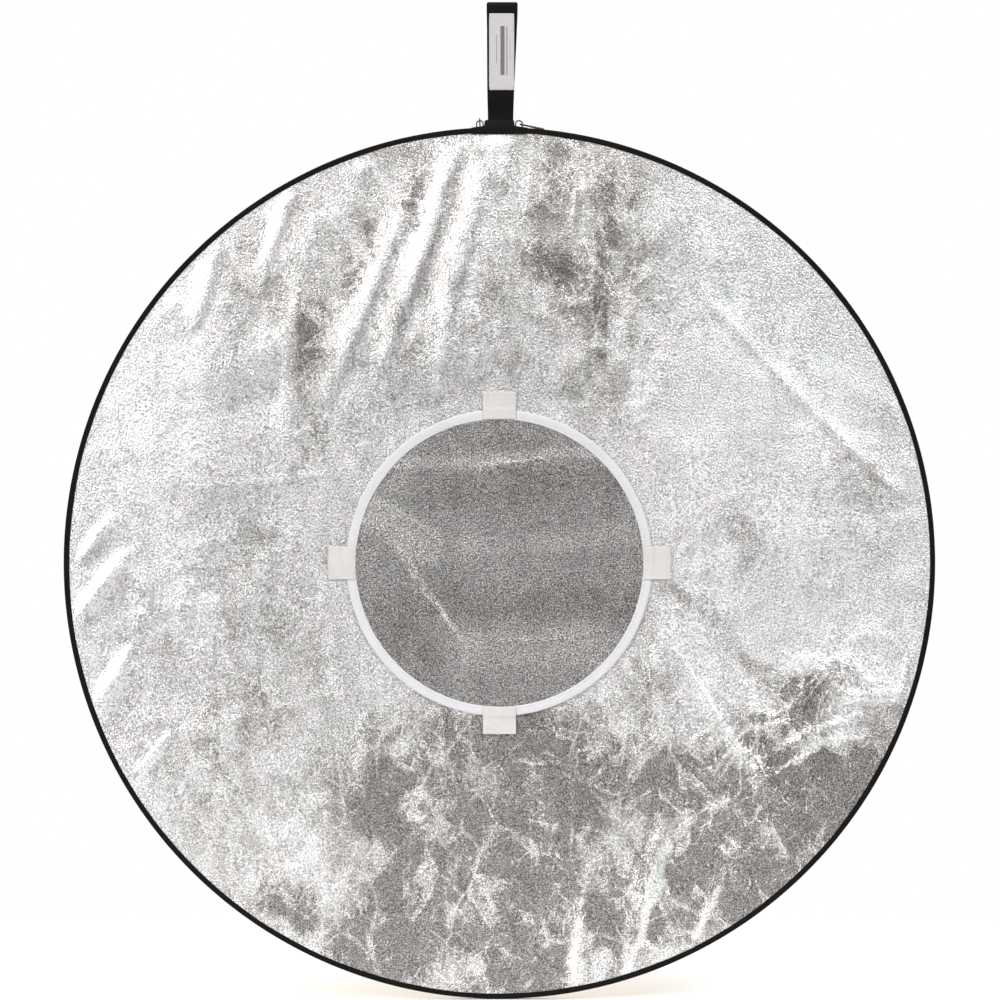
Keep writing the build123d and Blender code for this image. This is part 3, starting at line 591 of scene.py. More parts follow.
# Strokes of painted shade on the silver: from and to (x, z) in parts of the rim's radius, the stroke's
# half-width, and how much painted shade. A stroke below zero is a painted highlight, brighter than the rest.
PAINTED_SHADING_STROKES = (
    (.32, -.46, .64, -.56, .075, 1.1), (.6, -.39, .67, -.34, .05, 1.0), (.72, -.3, .8, -.26, .045, 1.1),
    (.86, -.33, .93, -.36, .05, .95), (.74, -.5, .92, -.52, .11, .75), (.38, -.05, .67, -.3, .02, .95),
    (.08, -.46, .11, -.51, .06, 1.2), (-.04, -.59, .12, -.61, .055, 1.1), (-.27, -.6, -.22, -.64, .06, .95),
    (-.15, -.54, -.09, -.57, .05, .95), (-.19, -.7, -.08, -.72, .065, 1.0),
    (-.32, -.9, -.2, -.86, .075, 1.1), (-.52, -.77, -.44, -.8, .045, 1.0), (.2, -.58, .2, -.74, .07, .5),
    (.46, -.66, .62, -.7, .08, .6), (.12, -.82, .24, -.72, .06, .4), (-.05, -.72, .05, -.88, .09, .6),
    (-.28, -.76, -.1, -.84, .06, .6), (.15, .94, .12, .56, .034, .38), (.24, .9, .23, .48, .034, .38),
    (.33, .84, .31, .52, .03, .36), (.2, .68, .24, .52, .06, .36), (.2, .92, .2, .44, .16, .44),
    (.09, .9, .06, .48, .026, .42), (.78, .23, .87, .15, .04, 1.25), (.53, .1, .56, .04, .035, 1.0),
    (-.62, .14, -.58, .04, .09, .36), (-.9, .05, -.92, .0, .045, .3), (-.33, .76, -.34, .66, .04, .4),
    (-.18, .9, -.2, .8, .04, .4), (-.57, .76, -.6, .64, .04, .4), (.02, -.6, .02, -.82, .29, .62),
    (-.25, -.4, -.23, -.9, .05, .45), (.34, -.14, .33, -.54, .045, .5), (.56, -.54, .72, -.56, .24, .62),
    (.85, -.05, .9, .04, .05, .3), (.6, -.72, .7, -.62, .07, .35), (-.42, .62, -.43, .26, .025, .3),
    (-.62, -.3, -.4, -.82, .24, .46), (-.12, -.38, .24, -.4, .09, .42), (.68, .3, .74, -.1, .28, -.6),
    (.4, .66, .62, .52, .2, .1), (.44, .4, .5, .6, .12, -.14), (-.78, .56, -.84, .12, .15, -.45),
    (-.44, .6, -.2, .74, .32, .38), (-.5, .1, -.46, -.1, .16, .12), (.0, -.5, .4, -.8, .3, .26),
    (.46, -.2, .48, -.34, .045, -.4), (.66, -.44, .82, -.37, .012, -1.0), (.82, -.31, .96, -.3, .012, -.8),
    (.43, -.24, .62, -.53, .008, -.45), (.27, -.62, .22, -.76, .02, -.5),
    (.36, -.64, .29, -.94, .014, -1.1), (.2, -.74, .17, -.95, .01, -.9), (.09, -.8, .06, -.97, .01, -.9),
    (.5, -.71, .46, -.84, .01, -.8), (.08, -.84, .56, -.76, .13, .42), (-.87, .0, -.97, -.12, .028, -.9),
    (-.86, -.2, -.95, -.36, .032, -.9), (-.76, -.39, -.83, -.49, .008, -.8),
    (-.22, .8, -.38, .42, .018, -.7), (-.09, .96, -.26, .47, .02, -.8), (-.01, .97, -.14, .42, .026, -.8),
    (-.49, .84, -.53, .66, .014, -.6), (-.38, .93, -.14, .97, .03, .34), (.1, .97, .4, .9, .035, .22),
)


def nearest_on(x, z, start, end):
    """How far along a straight run each point is, as a share, and how far off it in x and z."""
    step = end - start
    dx, dz = x - start[0], z - start[1]
    t = np.clip((dx * step[0] + dz * step[1]) / (step @ step), 0, 1)
    return t, dx - t * step[0], dz - t * step[1]


def fold_relief(x, z, folds):
    """How far the folds stand off the cloth, in metres."""
    sway = 5 * MM
    warped_x = x + sway * noise_at(x, z, 0.14, 2, 4.1)
    warped_z = z + sway * noise_at(x, z, 0.14, 2, 9.7)
    relief = np.zeros_like(x)
    for course, width, height, steep in folds:
        path = np.array(course) * RIM_RADIUS
        lengths = path_lengths(path)
        best = np.full(x.shape, np.inf)
        flank, along = np.zeros_like(x), np.zeros_like(x)
        for start, end, passed in zip(path[:-1], path[1:], lengths):
            step = end - start
            t, off_x, off_z = nearest_on(warped_x, warped_z, start, end)
            distance = np.hypot(off_x, off_z)
            closer = distance < best
            best = np.where(closer, distance, best)
            flank = np.where(closer, np.sign(step[0] * off_z - step[1] * off_x), flank)
            along = np.where(closer, passed + t * np.linalg.norm(step), along)
        taper = np.sin(math.pi * (0.06 + 0.88 * along / lengths[-1])) ** 0.6
        reach = np.where(flank == steep, 0.55, 1.25) * width * MM * (0.7 + 0.3 * taper)
        relief += height * MM * taper * np.exp(-((best / reach) ** 2))
    return relief


def radial_folds(count, seed):
    """Folds that run in from the rim, for a face that isn't described fold by fold."""
    rng = np.random.default_rng(seed)
    folds = []
    for index in range(count):
        station = math.tau * (index + rng.uniform(-0.4, 0.4)) / count
        outer, inner = rng.uniform(0.88, 0.97), rng.uniform(0.45, 0.8)
        bend = rng.uniform(-0.12, 0.12)
        course = [
            (r * math.sin(station + bend * k), r * math.cos(station + bend * k))
            for k, r in enumerate(np.linspace(outer, inner, 3))
        ]
        folds.append((course, rng.uniform(7, 15), rng.uniform(1.0, 3.4), rng.choice((-1, 1))))
    return folds


def crease_shade(x, z):
    """Painted shade beside the long straight creases."""
    x, z = x / RIM_RADIUS, z / RIM_RADIUS
    dull = np.zeros_like(x)
    for edge, low, high, reach, amount in PAINTED_CREASE_SHADE:
        share = (x - edge - 0.02 * (z - low)) / reach
        window = smooth_step(low - 0.03, low + 0.06, z) * smooth_step(high + 0.03, high - 0.06, z)
        dull += amount * window * smooth_step(-0.05, 0.05, share) * smooth_step(1.0, 0.2, share)
    return dull


def dull_strokes(x, z, strokes, seed, jaggedness=1.0):
    """The painted shade the strokes leave on the cloth, and below zero their painted highlight. Their edges
    are jagged.
    """
    jagged_x, jagged_z = (
        at / RIM_RADIUS + 0.035 * jaggedness * noise_at(x, z, 0.07, 4, seed + k)
        for k, at in enumerate((x, z))
    )
    dull = np.zeros_like(x)
    for *ends, half_width, amount in strokes:
        _, off_x, off_z = nearest_on(jagged_x, jagged_z, np.array(ends[:2]), np.array(ends[2:]))
        dull += amount * smooth_step(1.5 * half_width, 0.35 * half_width, np.hypot(off_x, off_z))
    return dull


def tab_clearance(x, z):
    """0.12 under each tab, where the cloth lies flat, and 1 away from them."""
    clearance = np.ones_like(x)
    for station in STATIONS.values():
        angle = math.radians(station)
        across = np.abs(x * math.cos(angle) - z * math.sin(angle))
        outward = x * math.sin(angle) + z * math.cos(angle)
        clear = np.maximum(smooth_step(0.019, 0.034, across), smooth_step(0.204, 0.226, outward))
        clearance *= 0.12 + 0.88 * np.where(outward < 0, 1, clear)
    return clearance


def cover_face(name, side, folds, material, seed, crumpled, strokes):
    """One face of the cover: cloth stretched over the hoop, wrinkled between the port and the rim."""
    columns, rows = 960, 101
    station = round_the_disc(columns)
    radius = np.linspace(PORT_EDGE, PANEL_RADIUS, rows)[None, :] + 0 * station
    x, z = radius * np.sin(station), radius * np.cos(station)
    crumple = 0.25 + 0.35 * smooth_step(-0.2, 0.5, noise_at(x, z, 0.16, 3, seed + 3))
    for at_x, at_z, size, amount in crumpled:
        crumple += amount * np.exp(-(np.hypot(x / RIM_RADIUS - at_x, z / RIM_RADIUS - at_z) / size) ** 2)
    # Painted shading: a painted shadow in a band just outside the insert's ring (on both faces), a tone that
    # varies at random, strokes of painted shade and painted highlight, and on the silver face painted shade
    # beside the creases.
    ring_shadow = smooth_step(0.010, 0.0, radius - 0.184)
    dull = 0.12 * ring_shadow + 0.13 * noise_at(x, z, 0.26, 3, seed + 7)
    stroke_shading = dull_strokes(x, z, strokes, seed + 8)
    if side < 0:
        stroke_shading += crease_shade(x, z)
    dull += stroke_shading * (1 + 0.9 * noise_at(x, z, 0.085, 3, seed + 9) * smooth_step(0.0, 0.3, stroke_shading))

    # Broad swells in the middle of the cloth, then the folds, sharp crumples and a fine unevenness.
    relief = 2.8 * MM * smooth_step(-0.8, 0.9, noise_at(x, z, 0.20, 2, seed))
    relief += 1.0 * MM * smooth_step(-0.6, 0.8, noise_at(x * 1.5, z, 0.09, 2, seed + 5))
    relief *= smooth_step(0.180, 0.260, radius) * (1 - 0.9 * smooth_step(0.420, 0.512, radius))
    relief += fold_relief(x, z, folds)
    relief += 1.5 * MM * crumple * (noise_at(x, z, 0.075, 4, seed + 1, ridged=True) - 0.6)
    relief += 0.25 * MM * noise_at(x, z, 0.03, 3, seed + 2)
    near_ring = (0.08 + 0.92 * smooth_step(0.186, 0.226, radius)) * tab_clearance(x, z)
    near_rim = 1 - 0.9 * smooth_step(0.498, 0.5135, radius)
    highest = 9.0 * MM
    relief = np.clip(relief, 0, highest) * near_ring * near_rim
    points = polar(radius, side * (CLOTH_Y + relief), station)
    faces, _ = quads(columns, rows, wrap_rows=True, flip=side > 0)
    piece = new_piece(name, points.reshape(-1, 3), faces, material)
    return mark(piece, dull=dull, crumple=crumple)


def mark(piece, **fields):
    """Stores the painted shading (shade above zero, highlight below) and how crumpled the cloth is at each of
    its points.
    """
    for key, values in fields.items():
        layer = piece.data.attributes.new(key, "FLOAT", "POINT")
        layer.data.foreach_set("value", np.clip(values, -0.6, 1.6).astype(np.float32).ravel())
    return piece


# Each point of a folded tape's section: radius and depth in mm, and how far it follows sway and gathering.
BINDING_SECTION = (
    (517.6, -4.75, 0, 0), (519.9, -4.75, 0, 0), (520.5, -4.95, 0, 0), (520.68, -5.4, 0, 0),
    (520.5, -6.0, 0, 0), (520.0, -6.5, 0, 0.5), (519.0, -6.85, 0, 1), (517.6, -6.98, 0.2, 1),
    (516.0, -6.92, 0.6, 0.3), (514.9, -6.98, 1, 1), (514.3, -6.9, 1, 1), (514.1, -6.65, 1, 0),
    (514.3, -6.3, 1, 0), (517.5, -6.25, 0, 0), (519.6, -6.2, 0, 0), (519.6, -5.45, 0, 0), (517.6, -5.4, 0, 0),
)
INSERT_EDGE_SECTION = (
    (171.6, -8.95, 1, 0), (171.7, -9.45, 1, 0), (172.3, -9.72, 1, 0), (173.6, -9.7, 0.6, 0),
    (174.6, -9.62, 0.3, 0.3), (175.8, -9.75, 0, 1), (178.0, -9.88, 0, 1), (180.4, -9.9, 0, 1),
    (182.0, -9.75, 0, 1), (182.8, -9.3, 0, 0.5), (183.0, -8.7, 0, 0), (182.8, -7.9, 0, 0),
    (182.0, -7.45, 0, 0), (180.0, -7.3, 0, 0), (175.5, -7.4, 0, 0), (172.3, -7.5, 1, 0),
    (171.7, -7.8, 1, 0), (171.6, -8.25, 1, 0),
)


def rim_binding(name, side, material):
    """Folded tape round the edge of a cover panel, a little uneven in how far it reaches over the face."""
    count, seed = 1440, 60.0 + side
    station = round_the_disc(count)
    x, z = np.sin(station) * RIM_RADIUS, np.cos(station) * RIM_RADIUS
    sway = 0.8 * noise_at(x, z, 0.12, 3, seed) * MM
    pucker = -0.14 * np.abs(noise_at(x, z, 0.012, 2, seed + 1)) * MM
    return folded_tape(
        name, BINDING_SECTION, RIM_RADIUS, count, sway, pucker, material, side, flip=side < 0
    )


def insert_ring(material):
    """The insert's sewn edge: tape folded over the wire, puffed where the wire runs and gathered a little."""
    count = 960
    station = round_the_disc(count)
    x, z = np.sin(station) * RING_OUTER, np.cos(station) * RING_OUTER
    gather = 0.10 * noise_at(x, z, 0.007, 2, 21.0) * MM
    sway = 0.35 * noise_at(x, z, 0.07, 2, 23.0) * MM
    return folded_tape(
        "insert_edge", INSERT_EDGE_SECTION, RING_OUTER, count, sway, gather, material
    )


def ring_stitches(name, radius, depth, side, material, slot, **spacing):
    station = round_the_disc(720)[:, 0]
    path = polar(np.full(720, radius * MM), side * depth * MM, station)
    return stitches(name, np.concatenate([path, path[:1]]), side, material, slot, **spacing)


def zip_coil(name, side, material):
    """A nylon spiral sewn to the tape: one turn for each tooth, flattened where it meets its twin."""
    pitch, wire, half_width, half_depth, set_off = (length * MM for length in (2.2, 0.33, 0.68, 0.94, 1.62))
    start, per_turn = math.radians(1.35), 8
    span = math.tau - 2 * start
    turns = int(span * COIL_OUTER / pitch)
    t = np.arange(turns * per_turn + 1) / per_turn
    phase = t * math.tau + (math.pi if side > 0 else 0)
    station = start + span * t / turns
    radius = (COIL_OUTER + COIL_INNER) / 2 + half_width * np.sin(phase)
    depth = side * (set_off + half_depth * np.cos(phase))
    path = polar(radius, depth, station)
    ahead = unit(np.gradient(path, axis=0))
    across = unit(np.cross(ahead, polar(np.ones_like(station), 0.0, station)))
    up = np.cross(across, ahead)
    around = (np.arange(5) * math.tau / 5)[None, :, None]
    points = path[:, None] + wire * (across[:, None] * np.cos(around) + up[:, None] * np.sin(around))
    return grid_piece(name, points, t * pitch, np.arange(6) * wire, material, wrap_columns=True)


MIRROR_Y = ((1, 0, 0, 0), (0, -1, 0, 0), (0, 0, 1, 0), (0, 0, 0, 1))


def loop_patch(name, tab_side, station, side, material):
    """Napped loop tape, sewn to the cover where a tab lands."""
    width, front, back, inner, outer = (length * MM for length in (37.0, -6.95, -6.2, 186.0, 203.0))
    patch = plate(
        f"loop_tape_{name}_{tab_side}", (0.0, (inner + outer) / 2), (width, outer - inner), (front, back),
        0.8 * MM, material, rough=0.2 * MM, rings=14, around=110, seed=station * 0.37 + side,
    )
    if side > 0:
        patch.data.transform(MIRROR_Y)
        patch.data.flip_normals()
    return turn(patch, station)


# ---- insert ----

# Folds of the insert's cloth, and its strokes of painted shade and painted highlight, as for the cover's.
INSERT_FOLDS = (
    (((-.24, .05), (-.15, -.08), (-.07, -.20)), 2.2, 0.9, 1),
    (((.00, -.18), (.16, -.17), (.27, -.14)), 3.0, 0.35, 1),
    (((.08, -.25), (.12, -.30), (.15, -.24)), 2.0, 0.5, 1),
    (((.14, -.24), (.17, -.29)), 2.0, 0.4, 1),
    (((-.27, .12), (-.20, .09), (-.12, .04)), 5.0, 0.4, -1),
    (((-.10, .21), (.10, .23), (.22, .19)), 9.0, 0.5, 1),
)
INSERT_PAINTED_SHADING = (
    (-.28, .22, .28, .262, .016, -.5), (-.16, .16, .26, .185, .036, .26), (-.3, .12, -.17, .04, .042, -.75),
    (-.08, .04, .28, .06, .028, -.34), (-.2, -.085, .3, -.095, .038, .26),
    (-.06, -.2, .24, -.185, .055, -.42), (-.26, -.13, -.18, -.22, .045, .34),
    (-.24, .05, -.07, -.2, .007, -1.0), (-.2, .3, .2, .31, .03, .2),
)


def insert_face(name, depth, side, folds, material, seed, strokes=()):
    """A ply of the insert's cloth, drawn nearly flat inside the wire."""
    rows, columns = 84, 300
    station = round_the_disc(columns).T
    radius = np.linspace(0.0, 1.0, rows + 1)[1:, None] ** 0.8 * INSERT_CLOTH_RADIUS + 0 * station
    x, z = radius * np.sin(station), radius * np.cos(station)
    relief = fold_relief(x, z, folds) + 0.35 * MM * smooth_step(-0.6, 0.8, noise_at(x, z, 0.09, 3, seed))
    relief += 0.16 * MM * noise_at(x, z, 0.02, 3, seed + 1, ridged=True)
    relief *= 1 - smooth_step(0.150, 0.1705, radius)
    middle = (0.0, depth + side * relief[0].mean(), 0.0)
    points = np.concatenate([[middle], polar(radius, depth + side * relief, station).reshape(-1, 3)])
    rings, _ = quads(rows, columns, wrap_columns=True, flip=side > 0)
    faces = [*fan(0, 1, columns, reverse=side > 0), *(rings + 1).tolist()]
    piece = new_piece(name, points, faces, material)
    x, z = points[:, 0], points[:, 2]
    # Painted shading: an even share of painted shade, a tone that varies at random, and strokes of painted
    # shade and painted highlight.
    dull = 0.10 + 0.12 * noise_at(x, z, 0.12, 3, seed + 5) + dull_strokes(x, z, strokes, seed + 7, 0.25)
    crumple = 0.2 + 0.25 * smooth_step(-0.3, 0.6, noise_at(x, z, 0.07, 3, seed + 6))
    return mark(piece, dull=dull, crumple=crumple)


def tab(side, station, material):
    """A sewn tab of ribbed webbing: it lies over the insert's edge and steps down to the cover."""
    rows, columns = 44, 40
    along = np.linspace(0, 1, rows)[:, None]
    across = np.linspace(-1, 1, columns)[None, :]
    inner, corner = RING_INNER + 0.3 * MM, 1.4 * MM
    top, step, wall, rounding = -10.7, 0.7, 0.8, 0.10      # in mm
    z = inner + (TAB_OUTER - inner) * along + 0 * across
    near_end = np.clip((np.abs(across) * TAB_HALF_WIDTH - (TAB_HALF_WIDTH - corner)) / corner, 0, 1)
    z -= np.where(along > 0.5, 1, -0.4) * corner * (1 - np.sqrt(1 - near_end**2)) * np.abs(2 * along - 1) ** 6
    x = TAB_HALF_WIDTH * across * (1 - 0.012 * np.sin(math.pi * along * 0.9))
    front = top + step * smooth_step(0.1825, 0.1865, z) + 0.1 * noise_at(x + station, z, 0.012, 2, 31.0)
    for share in (np.abs(across), along):
        front -= rounding * np.sin(math.pi * np.clip((share - 0.86) / 0.14, 0, 1))
    thick = wall * np.sqrt(np.clip(1 - np.abs(across) ** 60, 0.05, 1))
    upper = np.stack([x, front * MM, z], -1)
    lower = np.stack([x, (front + thick) * MM, z], -1)[:, ::-1]
    widths = np.concatenate([across[0], 2 - across[0], [across[0, 0] + 4]]) * TAB_HALF_WIDTH
    piece = grid_piece(
        f"tab_webbing_{side}", np.concatenate([upper, lower], 1), z[:, columns // 2], widths, material,
        wrap_columns=True,
    )
    return turn(close_up(piece), station)


def tab_seam(name, radius, depth, station, material):
    ends = [(-17.2 * MM, radius * MM), (17.2 * MM, radius * MM)]
    path = corner_path(ends, 29, -depth * MM)
    return turn(stitches(name, path, -1, material, "tab_webbing", 2.8, 2.0, 0.2), station)


def hook_patch(side, station, material):
    """The stiff hook tape under a tab: a backing strip with rows of small hooks on it."""
    low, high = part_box("hook_patch_top")
    width, height, middle = high.x - low.x, high.z - low.z, (low.z + high.z) / 2
    backing = plate(
        f"hook_tape_{side}", (0.0, middle), (width, height), (low.y, low.y + 0.6 * MM), 1.0 * MM, material,
        rings=3,
    )
    pitch = 1.5 * MM
    rows, columns = int(height / pitch) - 1, int(width / pitch) - 1
    x = (np.arange(columns) - (columns - 1) / 2) * pitch
    z = middle + (np.arange(rows) - (rows - 1) / 2) * pitch
    # Each ring of a hook: its radius, rise and lean in mm.
    stem = ((0.22, 0.5, 0.0), (0.18, 0.95, 0.0), (0.2, 1.2, 0.18), (0.12, 1.32, 0.42), (0.05, 1.25, 0.6))
    hook = np.array([
        (radius * math.cos(a) * MM, low.y + rise * MM, (lean + radius * math.sin(a)) * MM)
        for radius, rise, lean in stem for a in np.arange(5) * math.tau / 5
    ])
    places = np.array([(a + (0.35 * pitch if k % 2 else 0), 0.0, b) for k, b in enumerate(z) for a in x])
    faces, _ = quads(len(stem), 5, wrap_columns=True, flip=True)
    every = np.concatenate([faces + k * len(hook) for k in range(len(places))])
    points = (hook[None] + places[:, None]).reshape(-1, 3)
    hooks = close_up(new_piece(f"hooks_{side}", points, every, material))
    return turn(backing, station), turn(hooks, station)


# ---- handle ----

def strap_shift(z):
    """Sideways set of the strap: it stands a little to the right, more so at its top."""
    return 1.4 * MM + 1.9 * MM * smooth_step(0.54, 0.67, z)


def strap(material):
    """One length of webbing, doubled into a loop: up the front, over the top and down the back."""
    low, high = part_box("handle_strap")
    tail_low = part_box("handle_strap_tail")[0].z
    ply, gap, corner = 0.78 * MM, 0.02 * MM, 3.6 * MM
    centre_y = high.y - ply - gap
    top_z = high.z - ply - gap - centre_y
    rise = np.concatenate([np.linspace(tail_low, low.z + 4 * MM, 12), np.linspace(low.z + 6 * MM, top_z, 56)])
    spread = smooth_step(low.z + 4 * MM, low.z + 27 * MM, rise)
    bulge = 0.5 * MM * np.sin(math.pi * smooth_step(0.56, 0.66, rise))
    front_y = -(ply + (centre_y - ply) * spread) - bulge * 0.4
    arc = np.linspace(0, math.pi, 17)[1:-1]
    path_y = np.concatenate([front_y, -centre_y * np.cos(arc), -front_y[::-1]])
    path_z = np.concatenate([rise, top_z + centre_y * np.sin(arc), rise[::-1]])
    ahead = unit(np.stack([np.gradient(path_y), np.gradient(path_z)], -1))
    half = np.interp(path_z, [tail_low, low.z, high.z], [0.0150, 0.0152, high.x - 0.15 * MM])
    from_top = np.clip(high.z - path_z, 0, corner) / corner
    half = half - corner * (1 - np.sqrt(1 - (1 - from_top) ** 2)) * 0.9
    half += 0.35 * MM * noise_at(path_z + path_y, path_z * 0, 0.03, 2, 44.0)

    across = np.concatenate([np.linspace(-1, 1, 25), np.linspace(1, -1, 25)])
    edge = np.clip((np.abs(across) - 0.84) / 0.16, 0, 1)
    thick = 0.70 + 0.10 * np.sin(math.pi * np.clip(edge * 1.2, 0, 1))
    thick *= np.where(np.abs(across) > 0.995, 0.45, 1.0) * np.repeat((-MM, MM), 25)
    x = strap_shift(path_z)[:, None] + half[:, None] * across
    y = path_y[:, None] - ahead[:, 1:] * thick
    z = path_z[:, None] + ahead[:, :1] * thick
    lengths = path_lengths(np.stack([path_y, path_z], -1))
    half_width = 19.0 * MM
    widths = np.append(np.cumsum(np.abs(np.diff(across, prepend=across[0]))), 4.0) * half_width
    points = np.stack([x, y, z], -1)
    return close_up(grid_piece(
        "strap_webbing", points, lengths, widths, material, wrap_columns=True
    ))


def strap_stitches(material):
    """Thread along both edges of the webbing, front and back."""
    rows = []
    z = np.linspace(0.560, 0.662, 60)
    for side, edge in ((-1, -1), (-1, 1), (1, -1), (1, 1)):
        x = strap_shift(z) + edge * np.interp(z, [0.5325, 0.6707], [0.0137, 0.0170])
        path = np.stack([x, np.full(60, side * 5.98 * MM), z], -1)
        name = f"strap_seam_{len(rows)}"
        rows.append(stitches(name, path, side, material, "black_webbing", 3.0, 2.2, 0.22))
    return rows


def label(cloth_material, thread):
    low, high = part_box("handle_label")
    middle = (low.z + high.z) / 2
    set_off = float(strap_shift(middle)) + 0.2 * MM
    size = (high.x - low.x, high.z - low.z)
    patch = plate(
        "label_patch", (set_off, middle), size, (low.y + 0.05 * MM, high.y - 0.1 * MM), 0.8 * MM,
        cloth_material, crown=0.05 * MM, rings=14, around=120, seed=12.0,
    )
    inset = 1.7 * MM
    half_x, half_z = size[0] / 2 - inset, size[1] / 2 - inset
    corners = [
        (set_off + a * half_x, middle + b * half_z) for a, b in ((-1, -1), (1, -1), (1, 1), (-1, 1), (-1, -1))
    ]
    seam = stitches("label_seam", corner_path(corners, 12, low.y), -1, thread, "label_cloth", 2.4, 1.8, 0.2)
    return patch, seam


def handle_base(material, thread):
    """The folded patch that holds the strap: a wedge over the rim, and a flange sewn to each face."""
    # Lengths are in mm until the points are made. The wedge rises from its shoulder to its peak.
    half_wide, half_wedge, levels = 33.8, 17.6, 18
    shoulder_z, peak_z, flange_y, peak_y = 520.6, 529.3, 7.78, 2.15
    x = np.concatenate([
        np.linspace(-half_wide, -half_wedge - 0.5, 16), np.linspace(-half_wedge, half_wedge, 33),
        np.linspace(half_wedge + 0.5, half_wide, 16),
    ])
    away = np.abs(x)
    on_wedge = away <= half_wedge
    wing_top = np.interp(away, [half_wedge, 21.5, half_wide], [522.0, 520.9, 519.2])
    shoulder = np.where(on_wedge, shoulder_z, wing_top)
    soft = 1 - 0.12 * smooth_step(14.0, half_wedge, away) * on_wedge
    low_z = 512.3 + 0.5 * smooth_step(30.0, half_wide, away) + 0.15 * np.sin(away * 1.1)
    points, faces = [], []
    for side in (-1, 1):
        strip, _ = quads(levels, len(x), flip=side > 0)
        faces.append(strip + len(points) * len(x))
        for t in np.arange(levels) / (levels - 1):
            climb = np.clip((t - 0.45) / 0.55, 0, 1)
            z = low_z + (shoulder - low_z) * np.clip(t / 0.45, 0, 1)
            z += np.where(on_wedge, (peak_z - shoulder_z) * soft * climb, 0)
            y = flange_y - np.where(on_wedge, (flange_y - peak_y) * climb**1.15, 0.25 * climb)
            y += 0.10 * np.sin(away * 0.9 + 2 * t) * (1 - climb)
            points.append(np.stack([x, side * y, z], -1) * MM)
    faces = np.concatenate(faces)
    points = np.array(points)
    corners = np.stack([
        np.linspace(0, 0.03, levels)[faces // len(x) % levels], (x * MM)[faces % len(x)]
    ], -1)
    patch = new_piece("base_patch", points.reshape(-1, 3), faces, material, corners)
    wall = patch.modifiers.new("ply", "SOLIDIFY")
    wall.thickness = 0.75 * MM
    wall.offset = -1.0
    seams = []
    run = ((-32.0, 518.0), (-32.0, 513.9), (32.0, 513.9), (32.0, 518.0))
    box = ((-14.2, 515.6), (14.2, 515.6), (14.2, 519.6), (-14.2, 519.6), (-14.2, 515.6))
    for side in (-1, 1):
        for row in (run, box):
            path = corner_path([(a * MM, b * MM) for a, b in row], 20, side * 7.8 * MM)
            name = f"base_seam_{len(seams)}"
            seams.append(stitches(name, path, side, thread, "black_webbing", 2.8, 2.0, 0.24))
    return patch, seams


# ---- studio ----

# Each light in the studio's surround: where it is, its full and outer angle in degrees, and its strength.
STUDIO_AMBIENT = 0.175
STUDIO_LIGHTS = (
    ((-0.02, -1.0, 0.55), 8, 48, 0.67),
    ((0.0, -0.2, 1.0), 15, 60, 0.7),
    ((-0.4, 1.0, 0.5), 10, 60, 0.7),
)
# Each softbox: its name, place, size in metres and power in watts. All of them face the origin.
SOFTBOXES = (
    ("key_softbox", (-4.8, -5.4, 2.6), (1.4, 3.6), 340.0),
    ("fill_softbox", (3.8, -5.4, 3.9), (1.8, 1.8), 230.0),
    ("top_softbox", (0.2, -0.6, 3.4), (3.0, 3.0), 60.0),
    ("rear_softbox", (2.8, 5.6, 2.4), (2.0, 3.0), 200.0),
)


def studio():
    """Camera square on to the silver side, a soft surround and four softboxes."""
    scene = bpy.context.scene
    scene.view_settings.view_transform = "Standard"
    camera = bpy.data.objects.new("camera", bpy.data.cameras.new("camera"))
    camera.data.lens = 200
    camera.data.sensor_width = 36
    camera.location = (0.0007, -6.643, 0.0752)
    camera.rotation_euler = (math.radians(90), 0, 0)
    scene.collection.objects.link(camera)
    scene.camera = camera
    scene.world = bpy.data.worlds.new("studio")
    scene.world.use_nodes = True
    surround(Nodes(scene.world.node_tree))
    for name, place, size, power in SOFTBOXES:
        lamp = bpy.data.lights.new(name, "AREA")
        lamp.shape = "RECTANGLE"
        lamp.size, lamp.size_y = size
        lamp.energy = power
        softbox = bpy.data.objects.new(name, lamp)
        softbox.location = place
        softbox.rotation_euler = (-Vector(place)).to_track_quat("-Z", "Y").to_euler()
        scene.collection.objects.link(softbox)


def surround(n):
    """Even light from all round with brighter lobes in it. The camera itself sees plain white."""
    direction = n.add("TexCoord").outputs["Generated"]
    lobes = []
    for aim, inner, outer, strength in STUDIO_LIGHTS:
        values = {0: direction, 1: Vector(aim).normalized()}
        toward = n.add("VectorMath", values, operation="DOT_PRODUCT").outputs["Value"]
        limits = (math.cos(math.radians(angle)) for angle in (outer, inner))
        lobes.append(n.remap(toward, *limits, 0.0, strength))
    seen = n.add("LightPath").outputs["Is Camera Ray"]
    strength = n.add("Mix", {0: seen, 2: n.plus(STUDIO_AMBIENT, *lobes), 3: 1.0}).outputs[0]
    background = n.tree.nodes["Background"].inputs
    n.put(background["Color"], (1.0, 1.0, 1.0))
    n.put(background["Strength"], strength)


def floor():
    """A pale round floor whose edge fades into the background."""
    s = Shader("pale_floor")
    where = s.place("object")
    speckle = s.noise(where, 220.0, 3.0)
    distance = s.add("VectorMath", {0: where}, operation="LENGTH").outputs["Value"]
    pale = s.grey(s.spread(speckle, 0.9, 0.94))
    rough = s.spread(speckle, 0.75, 0.9)
    s.finish(Base_Color=pale, Roughness=rough, Alpha=s.remap(distance, 0.6, 1.5, 1.0, 0.0))
    corners, reach = 64, 1.6
    angles = np.arange(corners) * math.tau / corners
    ring = [(reach * math.cos(a), reach * math.sin(a), 0.0) for a in angles]
    mesh = bpy.data.meshes.new("floor")
    mesh.from_pydata(ring, [], [list(range(corners))])
    mesh.materials.append(s.material)
    ground = bpy.data.objects.new("floor", mesh)
    ground.location.z = CAD_BOX[0][2] - 0.6 * MM
    bpy.context.collection.objects.link(ground)


# ---- assembly ----

